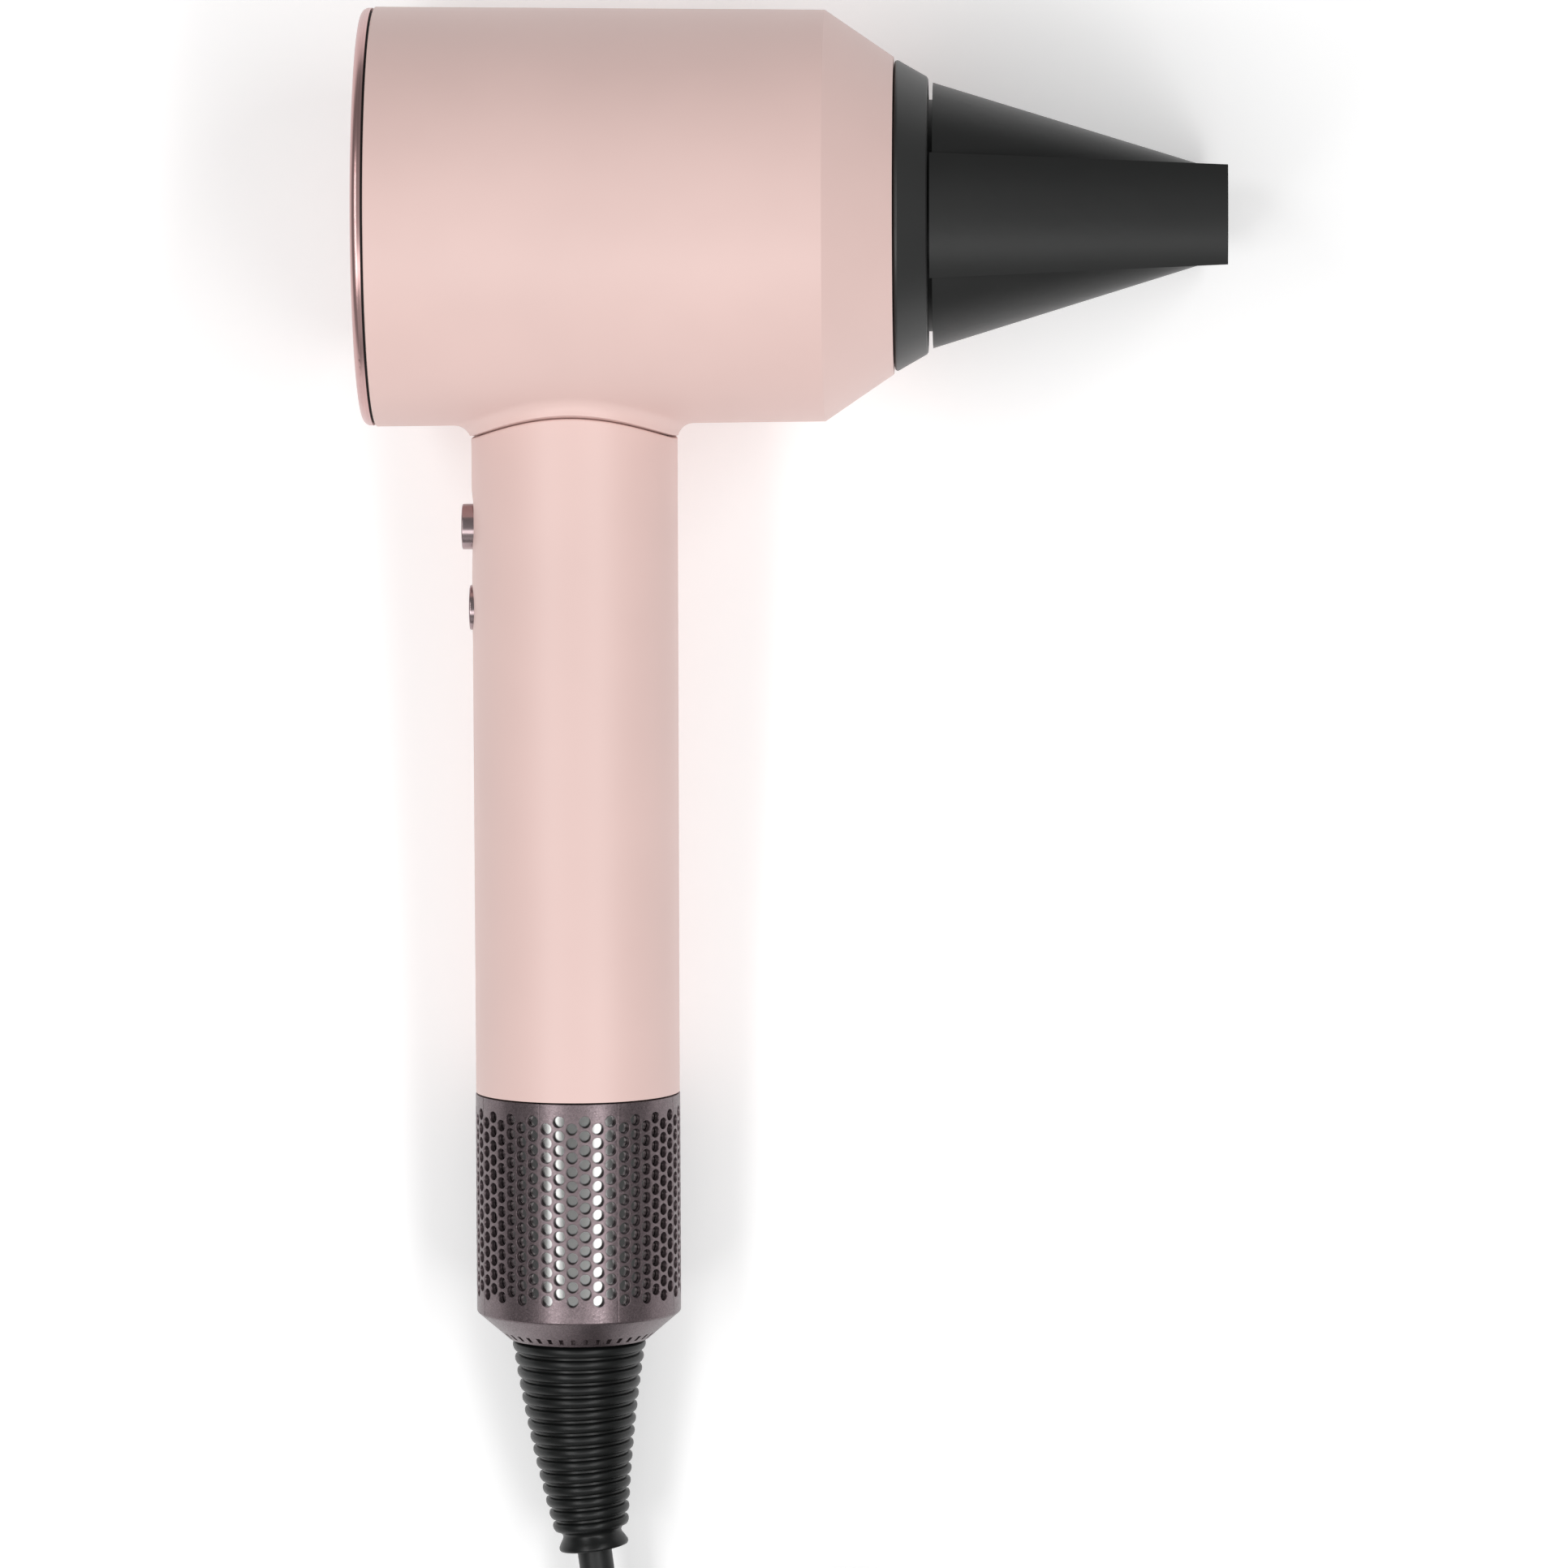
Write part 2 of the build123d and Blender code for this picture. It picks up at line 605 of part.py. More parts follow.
# ============================================================================== intake
# Windowed frame under the filter cage; its upper end plugs into the handle and its floor
# holds the strain relief, which a clamp and two screws keep in place.
FRAME_R = 17.2
FRAME_INNER_R = 16.0
FRAME_FLOOR = 212.0
STEM_R = 5.9
CLAMP_TOP = 198.0
CLAMP_BOTTOM = 204.0
SCREW_OUT = 10.0
with BuildPart() as inlet_frame:
    with BuildSketch():
        Polygon(
            (HANDLE_INNER_R - 0.1, -158),
            (HANDLE_INNER_R - 0.1, -HANDLE_END + 0.2),
            (FRAME_R, -HANDLE_END - 0.2),
            (FRAME_R, -207.8),
            (12.6, -FRAME_FLOOR),
            (STEM_R + 0.1, -FRAME_FLOOR),
            (STEM_R + 0.1, -FRAME_FLOOR + 2),
            (12.0, -FRAME_FLOOR + 2),
            (FRAME_INNER_R, -206.6),
            (FRAME_INNER_R, -158),
            align=None,
        )
    revolve(axis=Axis.Y)
    with BuildSketch(across_handle(CLAMP_BOTTOM)):
        with Locations((SCREW_OUT, 0), (-SCREW_OUT, 0)):
            Circle(3.0)
    extrude(amount=FRAME_FLOOR - CLAMP_BOTTOM - 1)
    with BuildSketch(across_handle(CLAMP_BOTTOM - 1)):
        with Locations((SCREW_OUT, 0), (-SCREW_OUT, 0)):
            Circle(1.55)
    extrude(amount=6, mode=Mode.SUBTRACT)
    for s in (170.5, 182.0, 193.5):
        with BuildSketch(across_handle(s)):
            with PolarLocations(16.5, 8):
                Rectangle(4.0, 9.4)
        extrude(amount=9.5, mode=Mode.SUBTRACT)
inlet_frame.part.label = "inlet_frame"

with BuildPart() as cord_clamp:
    with BuildSketch(across_handle(CLAMP_TOP)):
        SlotCenterToCenter(2 * SCREW_OUT, 9.0)
        Circle(8.0)
        Circle(STEM_R + 0.1, mode=Mode.SUBTRACT)
        with Locations((SCREW_OUT, 0), (-SCREW_OUT, 0)):
            Circle(1.6, mode=Mode.SUBTRACT)
    extrude(amount=CLAMP_BOTTOM - CLAMP_TOP - 0.05)
cord_clamp.part.label = "cord_clamp"

with BuildPart() as clamp_screws:
    with BuildSketch(across_handle(CLAMP_TOP - 2.05)):
        with Locations((SCREW_OUT, 0), (-SCREW_OUT, 0)):
            Circle(2.7)
    extrude(amount=2.0)
    with BuildSketch(across_handle(CLAMP_TOP - 1)):
        with Locations((SCREW_OUT, 0), (-SCREW_OUT, 0)):
            Circle(1.5)
    extrude(amount=11.0)
    with BuildSketch(across_handle(CLAMP_TOP - 2.1)):
        with Locations((SCREW_OUT, 0), (-SCREW_OUT, 0)):
            Rectangle(3.0, 0.7)
            Rectangle(0.7, 3.0)
    extrude(amount=1.1, mode=Mode.SUBTRACT)
clamp_screws.part.label = "clamp_screws"

# Filter cage: thin round cover with a bevelled lower end, open for the strain relief.
with BuildPart() as filter_cage:
    with BuildSketch():
        Polygon(
            (CAGE_R - CAGE_WALL, -HANDLE_END - 0.3),
            (CAGE_R, -HANDLE_END - 0.3),
            (CAGE_R, -CAGE_END),
            (CAGE_MOUTH_R + 0.4, -CAGE_BEVEL_END),
            (CAGE_MOUTH_R, -CAGE_BEVEL_END),
            (CAGE_MOUTH_R, -CAGE_BEVEL_END + 1.1),
            (CAGE_R - CAGE_WALL, -CAGE_END + 0.5),
            align=None,
        )
    revolve(axis=Axis.Y)
filter_cage.part.label = "filter_cage"

with BuildPart() as filter_mesh:
    with BuildSketch(across_handle(HANDLE_END + 2)):
        Circle(CAGE_R - CAGE_WALL - 0.1)
        Circle(CAGE_R - CAGE_WALL - 0.5, mode=Mode.SUBTRACT)
    extrude(amount=CAGE_END - HANDLE_END - 3)
filter_mesh.part.label = "filter_mesh"

# ============================================================================== nozzle
# Conical collar that the magnets hold to the head; the nozzle turns in its bore.
RETAINER_R = 23.3
with BuildPart() as nozzle_collar:
    with BuildSketch():
        Polygon(
            (COLLAR_REAR_X, RETAINER_R + 0.3),
            (COLLAR_REAR_X, COLLAR_REAR_R),
            (COLLAR_FRONT_X, COLLAR_FRONT_R),
            (COLLAR_FRONT_X, SPIGOT_R + 0.3),
            (COLLAR_REAR_X + 1.9, SPIGOT_R + 0.3),
            (COLLAR_REAR_X + 1.9, RETAINER_R + 0.3),
            align=None,
        )
    revolve(axis=Axis.X)
    fillet(nozzle_collar.edges().group_by(Axis.X)[0].sort_by(SortBy.LENGTH)[-1], 0.5)
    chamfer(nozzle_collar.edges().group_by(Axis.X)[-1].sort_by(SortBy.LENGTH)[-1], 0.3)
    with BuildSketch(across_head(COLLAR_REAR_X - 1)):
        Circle(28.0)
        Circle(24.4, mode=Mode.SUBTRACT)
    extrude(amount=2.2, mode=Mode.SUBTRACT)
nozzle_collar.part.label = "nozzle_collar"

with BuildPart() as collar_steel_ring:
    with BuildSketch(across_head(COLLAR_REAR_X + 0.1)):
        Circle(27.95)
        Circle(24.45, mode=Mode.SUBTRACT)
    extrude(amount=1.05)
collar_steel_ring.part.label = "collar_steel_ring"

# Nozzle body: a cowl that narrows from the round base to the slot, and through it a flat
# duct whose rounded narrow sides stand just proud of the cowl.
DUCT_BASE_HEIGHT = 23.5
DUCT_REAR_X = NOZZLE_BASE_X - 0.5
DUCT_PROUD = 0.3
NOZZLE_WALL = 1.6


def duct_section(x, half_height, reach, bulge):
    """Flat-topped section whose narrow sides bulge outwards, wide along Z."""
    flat = reach - bulge
    with BuildSketch(across_head(x)) as section:
        with BuildLine():
            Line((-half_height, -flat), (-half_height, flat))
            ThreePointArc((-half_height, flat), (0, reach), (half_height, flat))
            Line((half_height, flat), (half_height, -flat))
            ThreePointArc((half_height, -flat), (0, -reach), (-half_height, -flat))
        make_face()
    return section.sketch


DUCT_SECTIONS = [
    duct_section(DUCT_REAR_X, DUCT_BASE_HEIGHT / 2, NOZZLE_BASE_R + DUCT_PROUD, 2.9),
    duct_section(NOZZLE_TIP_X, TIP_HEIGHT / 2, TIP_WIDTH / 2, 2.1),
]
with BuildPart() as nozzle_body:
    with BuildSketch(across_head(NOZZLE_BASE_X)):
        nearly_round(NOZZLE_BASE_R)
    with BuildSketch(across_head(NOZZLE_TIP_X - 0.2)):
        RectangleRounded(COWL_TIP_HEIGHT, COWL_TIP_WIDTH, COWL_TIP_HEIGHT / 2 * 0.98)
    loft(ruled=True)
    loft(DUCT_SECTIONS, ruled=True)
    with BuildSketch(across_head(COLLAR_REAR_X + 0.4)):
        Circle(SPIGOT_R)
    extrude(amount=NOZZLE_BASE_X - COLLAR_REAR_X)
    with BuildSketch(across_head(COLLAR_REAR_X)):
        Circle(SPIGOT_R - 1.0)
    extrude(amount=NOZZLE_BASE_X + NOZZLE_WALL - COLLAR_REAR_X, mode=Mode.SUBTRACT)
    with BuildSketch(across_head(NOZZLE_BASE_X + NOZZLE_WALL - 0.1)):
        nearly_round(NOZZLE_BASE_R - NOZZLE_WALL - 0.4)
    with BuildSketch(across_head(NOZZLE_TIP_X + 0.1)):
        RectangleRounded(12.4, 57.0, 6.0)
    loft(ruled=True, mode=Mode.SUBTRACT)
nozzle_body.part.label = "nozzle_body"

with BuildPart() as nozzle_retainer:
    with BuildSketch(across_head(COLLAR_REAR_X + 0.45)):
        Circle(RETAINER_R)
        Circle(SPIGOT_R + 0.02, mode=Mode.SUBTRACT)
    extrude(amount=1.2)
nozzle_retainer.part.label = "nozzle_retainer"

# Core: closes the head's bore while the nozzle is on and spreads the ring of air to the slot.
CORE_REAR_X = COLLAR_REAR_X + 2.0
with BuildPart() as nozzle_core:
    with BuildSketch(across_head(CORE_REAR_X)):
        nearly_round(BORE_R)
    with BuildSketch(across_head(CORE_REAR_X + 38)):
        RectangleRounded(3.0, 34.0, 1.45)
    loft(ruled=True)
    with BuildSketch(across_head(CORE_REAR_X - 0.1)):
        nearly_round(BORE_R - 1.5)
    with BuildSketch(across_head(CORE_REAR_X + 31)):
        RectangleRounded(1.6, 28.0, 0.75)
    loft(ruled=True, mode=Mode.SUBTRACT)
    with BuildSketch(across_head(CORE_REAR_X + 0.4)):
        with PolarLocations((BORE_R + SPIGOT_R - 1.5) / 2, 4, 45):
            Rectangle(SPIGOT_R - BORE_R - 0.65, 1.2)
    extrude(amount=3.6)
nozzle_core.part.label = "nozzle_core"

# ======================================================================= strain relief
RIB_PITCH = 2.47
RIB_THICK = 1.45
RIB_DEPTH = 0.75


def relief_plane(distance):
    """Plane square to the strain relief, which bends gently towards the nozzle's side."""
    turn = distance / RELIEF_BEND_R
    origin = (
        RELIEF_BEND_R * (1 - math.cos(turn)),
        -RELIEF_START - RELIEF_BEND_R * math.sin(turn),
        0,
    )
    ahead = (math.sin(turn), -math.cos(turn), 0)
    return Plane(origin=origin, x_dir=(math.cos(turn), math.sin(turn), 0), z_dir=ahead)


def rib_radius(number):
    """Radius of one rib: they shrink evenly from the first to the last."""
    return RELIEF_TOP_R + (RELIEF_END_R - RELIEF_TOP_R) * number / (RELIEF_RIBS - 1)


RIBBED_LENGTH = RELIEF_RIBS * RIB_PITCH
NECK_R = 5.6
SKIRT_R = 6.6
with BuildPart() as strain_relief:
    with BuildSketch(across_handle(CLAMP_TOP - 4)):
        Circle(STEM_R)
    extrude(amount=RELIEF_START - CLAMP_TOP + 4)
    with BuildSketch(relief_plane(0)):
        Circle(RELIEF_TOP_R - RIB_DEPTH)
    with BuildSketch(relief_plane(RIBBED_LENGTH / 2)):
        Circle((RELIEF_TOP_R - RIB_DEPTH + NECK_R) / 2)
    with BuildSketch(relief_plane(RIBBED_LENGTH)):
        Circle(NECK_R)
    loft()
    with BuildSketch(relief_plane(RIBBED_LENGTH)):
        Circle(NECK_R)
    with BuildSketch(relief_plane(RELIEF_LENGTH)):
        Circle(SKIRT_R)
    loft(ruled=True)
    for number in range(RELIEF_RIBS):
        with BuildSketch(relief_plane((number + 0.15) * RIB_PITCH)):
            Circle(rib_radius(number))
        extrude(amount=RIB_THICK)
    rib_edges = strain_relief.edges().filter_by(GeomType.CIRCLE)
    fillet(rib_edges.filter_by(lambda edge: edge.radius >= RELIEF_END_R - 0.01), 0.45)
strain_relief.part.label = "strain_relief"

# ================================================================================ cord
# The lead runs from the strain relief down to the surface and into a neat coil; the tail
# comes off the coil's top and drops to the plug.  Routes are in the lying dryer's frame.
COIL_X = 10.0
COIL_Y = -205.0
exit_point = (RESTING * Location(relief_plane(RELIEF_LENGTH).origin)).position
lead_route = [
    exit_point,
    (-37.4, -159.5, 13.75),
    (-35.2, -173.5, 10.7),
    (-33.8, -187.5, 6.9),
    (-33.3, -197.5, 4.9),
    (-33.2, -205.5, 4.3),
]
tail_route = [
    (-11.6, -240.5, 24.1),
    (0.7, -256.3, 22.0),
    (18.0, -266.3, 16.5),
    (37.9, -268.4, 10.5),
    (57.5, -268.0, 8.0),
]


def corner_radii(route):
    """Radius for each corner of a route: as large as its two runs allow."""
    points = [Vector(*point) for point in route]
    radii = []
    for before, corner, after in zip(points, points[1:], points[2:]):
        arriving = corner - before
        leaving = after - corner
        half_turn = math.radians(arriving.get_angle(leaving)) / 2
        radii.append(0.45 * min(arriving.length, leaving.length) / math.tan(half_turn))
    return radii


with BuildPart() as cord_lead:
    with BuildLine() as lead_line:
        FilletPolyline(*lead_route, radius=corner_radii(lead_route))
    with BuildSketch(Plane(origin=lead_line.line @ 0, z_dir=lead_line.line % 0)):
        Circle(CORD_D / 2)
    sweep()
cord_lead.part.label = "cord_lead"

with BuildPart() as cord_tail:
    with BuildLine() as tail_line:
        FilletPolyline(*tail_route, radius=corner_radii(tail_route))
    with BuildSketch(Plane(origin=tail_line.line @ 0, z_dir=tail_line.line % 0)):
        Circle(CORD_D / 2)
    sweep()
cord_tail.part.label = "cord_tail"

coil_inner_r = COIL_MEAN_D / 2 - COIL_PITCH * (COIL_COLUMNS - 1) / 2 - CORD_D / 2
coil_outer_r = COIL_MEAN_D / 2 + COIL_PITCH * (COIL_COLUMNS - 1) / 2 + CORD_D / 2
coil_height = COIL_LAYERS * CORD_D
with BuildPart() as cord_coil:
    with BuildSketch(Plane(origin=(COIL_X, COIL_Y, TIE_THICK))):
        Circle(coil_outer_r)
        Circle(coil_inner_r, mode=Mode.SUBTRACT)
    extrude(amount=coil_height)
    fillet(cord_coil.edges().filter_by(GeomType.CIRCLE), 2.8)
cord_coil.part.label = "cord_coil"

# Hook-and-loop strap round one side of the coil.
TIE_ANGLE = 20.0
TIE_ARC = 24.0
tie_turn = math.radians(TIE_ANGLE)
tie_plane = Plane(
    origin=(COIL_X, COIL_Y, TIE_THICK + coil_height / 2),
    x_dir=(math.cos(tie_turn), math.sin(tie_turn), 0),
    z_dir=(math.sin(tie_turn), -math.cos(tie_turn), 0),
)
coil_width = coil_outer_r - coil_inner_r
with BuildPart() as cord_tie:
    with BuildSketch(tie_plane):
        with Locations((COIL_MEAN_D / 2, 0)):
            RectangleRounded(coil_width + 2 * TIE_THICK, coil_height + 2 * TIE_THICK, 3.6)
            RectangleRounded(coil_width + 0.1, coil_height + 0.1, 2.7, mode=Mode.SUBTRACT)
    revolve(axis=Axis((COIL_X, COIL_Y, 0), (0, 0, 1)), revolution_arc=TIE_ARC)
cord_tie.part.label = "cord_tie"

# Flat two-pin plug lying on the surface, pins along +X, on a short ribbed sleeve.
PLUG_SLEEVE = 18.0
PLUG_BODY = 38.0
PLUG_WIDTH = 35.3
PLUG_THICK = 15.6
PIN_R = 2.4
PIN_LENGTH = 19.0
PIN_SPACING = 19.0
PIN_ROOT_R = 2.0
PIN_ROOT = 8.0
PIN_SHOULDER = 0.3
plug_x, plug_y, plug_z = tail_route[-1]


def across_plug(distance):
    """Plane square to the plug: sketch x is Y, sketch y is Z, extrusions go to the pins."""
    return Plane(origin=(plug_x + distance, plug_y, plug_z), x_dir=(0, 1, 0), z_dir=(1, 0, 0))


with BuildPart() as plug_body:
    with BuildSketch(across_plug(0)):
        Circle(4.6)
    with BuildSketch(across_plug(PLUG_SLEEVE)):
        Circle(5.8)
    loft()
    for rib in range(5):
        with BuildSketch(across_plug(2.0 + 3.2 * rib)):
            Circle(5.4 + 0.25 * rib)
        extrude(amount=1.6)
    with BuildSketch(across_plug(PLUG_SLEEVE - 1)):
        RectangleRounded(15.0, 12.6, 5.6)
    with BuildSketch(across_plug(PLUG_SLEEVE + 13)):
        RectangleRounded(30.0, PLUG_THICK, 6.6)
    with BuildSketch(across_plug(PLUG_SLEEVE + 24)):
        RectangleRounded(PLUG_WIDTH, PLUG_THICK, 6.9)
    loft()
    with BuildSketch(across_plug(PLUG_SLEEVE + 24)):
        RectangleRounded(PLUG_WIDTH, PLUG_THICK, 6.9)
    extrude(amount=PLUG_BODY - 24)
    fillet(plug_body.faces().sort_by(Axis.X)[-1].edges(), 0.8)
    with BuildSketch(across_plug(PLUG_SLEEVE + PLUG_BODY - PIN_ROOT)):
        with Locations((PIN_SPACING / 2, 0), (-PIN_SPACING / 2, 0)):
            Circle(PIN_ROOT_R)
    extrude(amount=PIN_ROOT + 1, mode=Mode.SUBTRACT)
plug_body.part.label = "plug_body"

with BuildPart() as plug_pins:
    with BuildSketch(across_plug(PLUG_SLEEVE + PLUG_BODY - PIN_ROOT)):
        with Locations((PIN_SPACING / 2, 0), (-PIN_SPACING / 2, 0)):
            Circle(PIN_ROOT_R)
    extrude(amount=PIN_ROOT + PIN_SHOULDER)
    with BuildSketch(across_plug(PLUG_SLEEVE + PLUG_BODY + PIN_SHOULDER)):
        with Locations((PIN_SPACING / 2, 0), (-PIN_SPACING / 2, 0)):
            Circle(PIN_R)
    extrude(amount=PIN_LENGTH - PIN_SHOULDER)
    fillet(plug_pins.edges().group_by(Axis.X)[-1], 1.4)
plug_pins.part.label = "plug_pins"

# ============================================================================== export
dryer_pieces = [
    head_shell,
    rear_trim_ring,
    rear_gasket,
    rear_cover,
    speed_button,
    heat_button,
    light_pipes,
    button_board,
    heater_board,
    inner_sleeve,
    outlet_ring,
    outlet_magnets,
    heater_frame,
    heater_ribbons,
    thermal_cutout,
    handle_shell,
    power_slider,
    cold_button,
    switch_carrier,
    switch_board,
    slide_switch,
    tact_switch,
    neck_seal,
    motor_board,
    motor_mount,
    motor_housing,
    stator,
    stator_windings,
    motor_shaft,
    rotor_magnet,
    shaft_bearing,
    impeller,
    inlet_frame,
    cord_clamp,
    clamp_screws,
    filter_cage,
    filter_mesh,
    nozzle_collar,
    collar_steel_ring,
    nozzle_body,
    nozzle_retainer,
    nozzle_core,
    strain_relief,
]
cord_pieces = [cord_lead, cord_coil, cord_tail, cord_tie, plug_body, plug_pins]

os.makedirs("parts", exist_ok=True)
for piece in dryer_pieces:
    turned = piece in (nozzle_body, nozzle_retainer, nozzle_core)
    piece.part.move(RESTING * NOZZLE_TURN if turned else RESTING)
for piece in dryer_pieces + cord_pieces:
    export_step(piece.part, f"parts/{piece.part.label}.step")

for name, route, line, tube in (
    ("lead", lead_route, lead_line.line, cord_lead.part),
    ("tail", tail_route, tail_line.line, cord_tail.part),
):
    length = sum(edge.length for edge in line.edges())
    expected = math.pi * (CORD_D / 2) ** 2 * length
    print(name, "radii", [round(radius, 1) for radius in corner_radii(route)])
    print(name, "length", round(length, 1), "volume ratio", round(tube.volume / expected, 4))
print("cord exit", exit_point, "tilt", round(TILT, 3), "lean", round(LEAN, 3))
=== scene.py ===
import json
import math

import bmesh
import bpy
from mathutils import Matrix, Vector


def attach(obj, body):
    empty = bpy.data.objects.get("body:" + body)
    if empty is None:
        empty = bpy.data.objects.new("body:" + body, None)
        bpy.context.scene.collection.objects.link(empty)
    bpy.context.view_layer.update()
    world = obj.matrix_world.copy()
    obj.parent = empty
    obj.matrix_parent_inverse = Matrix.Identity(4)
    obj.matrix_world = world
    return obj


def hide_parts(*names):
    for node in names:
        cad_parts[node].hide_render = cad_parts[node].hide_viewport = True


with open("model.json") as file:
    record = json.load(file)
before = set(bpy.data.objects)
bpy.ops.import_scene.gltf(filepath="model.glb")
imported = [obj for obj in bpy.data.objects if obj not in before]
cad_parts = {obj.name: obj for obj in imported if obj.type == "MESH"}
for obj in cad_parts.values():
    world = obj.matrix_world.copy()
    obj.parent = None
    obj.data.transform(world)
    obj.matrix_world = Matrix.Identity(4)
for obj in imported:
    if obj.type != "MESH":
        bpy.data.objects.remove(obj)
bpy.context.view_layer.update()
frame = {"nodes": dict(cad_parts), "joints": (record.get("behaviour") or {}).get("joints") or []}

# Looks of a hair dryer that lies on its side on a pale surface.  Pieces are built in the
# dryer's own axes, in metres: X along the head to the nozzle, Y up the handle, Z out of the
# flank that faces up.  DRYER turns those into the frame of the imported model.

MM = 0.001
NODES = frame["nodes"]
JOINTS = {joint["name"]: joint for joint in frame["joints"]}
AHEAD = Vector(JOINTS["nozzle_pull"]["axis"]).normalized()
ALONG = Vector(JOINTS["power_slide"]["axis"]).normalized()
FLANK = AHEAD.cross(ALONG)
SWIVEL_X = 60 * MM  # where on the head's axis the record puts the swivel
CENTRE = Vector(JOINTS["nozzle_swivel"]["pos_m"]) - SWIVEL_X * AHEAD
DRYER = Matrix.Translation(CENTRE) @ Matrix((AHEAD, ALONG, FLANK)).transposed().to_4x4()

CORD_D = 6.6 * MM
MESH_R = 18.4 * MM
MESH_PITCH = 0.42 * MM


# ------------------------------------------------------------------------------ materials
class Shader:
    """A material with one Principled shader and short helpers for its nodes."""

    def __init__(self, name, color, roughness, metallic=0.0, specular=0.5, coat=0.0, sheen=0.0):
        self.material = bpy.data.materials.new(name)
        self.material.use_nodes = True
        self.tree = self.material.node_tree
        self.bsdf = self.tree.nodes["Principled BSDF"]
        self.set("Base Color", (*color, 1.0))
        self.set("Roughness", roughness)
        self.set("Metallic", metallic)
        self.set("Specular IOR Level", specular)
        self.set("Coat Weight", coat)
        self.set("Sheen Weight", sheen)
        self.color = color
        self.roughness = roughness

    def set(self, socket, value):
        self.bsdf.inputs[socket].default_value = value

    def node(self, kind, **settings):
        made = self.tree.nodes.new(kind)
        for key, value in settings.items():
            setattr(made, key, value)
        return made

    def link(self, output, target):
        self.tree.links.new(output, target)

    def place(self):
        """Coordinates in the model's frame, in metres."""
        return self.node("ShaderNodeTexCoord").outputs["Object"]

    def dryer_place(self):
        """Coordinates in the dryer's own axes, in metres."""
        back = DRYER.inverted()
        mapping = self.node("ShaderNodeMapping")
        mapping.inputs["Location"].default_value = back.translation
        mapping.inputs["Rotation"].default_value = back.to_euler()
        self.link(self.place(), mapping.inputs["Vector"])
        return mapping.outputs["Vector"]

    def math(self, operation, first, second=0.0):
        made = self.node("ShaderNodeMath", operation=operation)
        for index, value in enumerate((first, second)):
            if isinstance(value, (int, float)):
                made.inputs[index].default_value = value
            else:
                self.link(value, made.inputs[index])
        return made.outputs[0]

    def noise(self, scale, detail=3.0, where=None):
        made = self.node("ShaderNodeTexNoise")
        made.inputs["Scale"].default_value = scale
        made.inputs["Detail"].default_value = detail
        self.link(where or self.place(), made.inputs["Vector"])
        return made.outputs["Fac"]

    def spread(self, factor, low, high):
        """Maps a 0 to 1 factor onto low to high."""
        made = self.node("ShaderNodeMapRange")
        made.inputs["To Min"].default_value = low
        made.inputs["To Max"].default_value = high
        self.link(factor, made.inputs["Value"])
        return made.outputs["Result"]

    def vary_color(self, factor, amount):
        """Lets the colour run a little darker and lighter with the factor."""
        ramp = self.node("ShaderNodeValToRGB")
        for element, gain in zip(ramp.color_ramp.elements, (1 - amount, 1 + amount)):
            element.color = (*[min(1.0, c * gain) for c in self.color], 1.0)
        ramp.color_ramp.elements[0].position = 0.3
        ramp.color_ramp.elements[1].position = 0.7
        self.link(factor, ramp.inputs["Fac"])
        self.link(ramp.outputs["Color"], self.bsdf.inputs["Base Color"])

    def vary_roughness(self, factor, amount):
        rough = self.spread(factor, self.roughness - amount, self.roughness + amount)
        self.link(rough, self.bsdf.inputs["Roughness"])

    def bump(self, height, depth):
        made = self.node("ShaderNodeBump")
        made.inputs["Distance"].default_value = depth
        made.inputs["Strength"].default_value = 1.0
        self.link(height, made.inputs["Height"])
        self.link(made.outputs["Normal"], self.bsdf.inputs["Normal"])


def moulded(name, color, roughness, grain=3200.0, depth=0.004 * MM, **more):
    """Moulded plastic or lacquer: fine grain, with slow changes of gloss and tone."""
    made = Shader(name, color, roughness, **more)
    made.vary_color(made.noise(35.0, 2.0), 0.02)
    made.vary_roughness(made.noise(140.0, 4.0), 0.035)
    made.bump(made.noise(grain, 2.0), depth)
    return made.material


def flake_metal(name, color, roughness, metallic):
    """Metallic paint: small flakes that differ in brightness, gloss and height."""
    made = Shader(name, color, roughness, metallic)
    flakes = made.node("ShaderNodeTexVoronoi")
    flakes.inputs["Scale"].default_value = 5200.0
    made.link(made.place(), flakes.inputs["Vector"])
    tone = made.node("ShaderNodeSeparateColor")
    made.link(flakes.outputs["Color"], tone.inputs["Color"])
    made.vary_color(tone.outputs["Red"], 0.16)
    made.vary_roughness(tone.outputs["Green"], 0.07)
    made.bump(tone.outputs["Blue"], 0.006 * MM)
    return made.material


def brushed_round(name, color, roughness, about_handle=False):
    """Metal brushed round the head's axis, or round the handle's."""
    made = Shader(name, color, roughness, metallic=1.0)
    parts = made.node("ShaderNodeSeparateXYZ")
    made.link(made.dryer_place(), parts.inputs["Vector"])
    straight, others = ("Y", ("X", "Z")) if about_handle else ("X", ("Y", "Z"))
    squares = [made.math("MULTIPLY", parts.outputs[a], parts.outputs[a]) for a in others]
    reach = made.math("SQRT", made.math("ADD", *squares))
    lines = made.node("ShaderNodeCombineXYZ")
    made.link(parts.outputs[straight], lines.inputs["X"])
    made.link(reach, lines.inputs["Y"])
    scratches = made.noise(5200.0, 3.0, lines.outputs["Vector"])
    made.vary_color(scratches, 0.07)
    made.vary_roughness(scratches, 0.06)
    made.bump(scratches, 0.003 * MM)
    return made.material


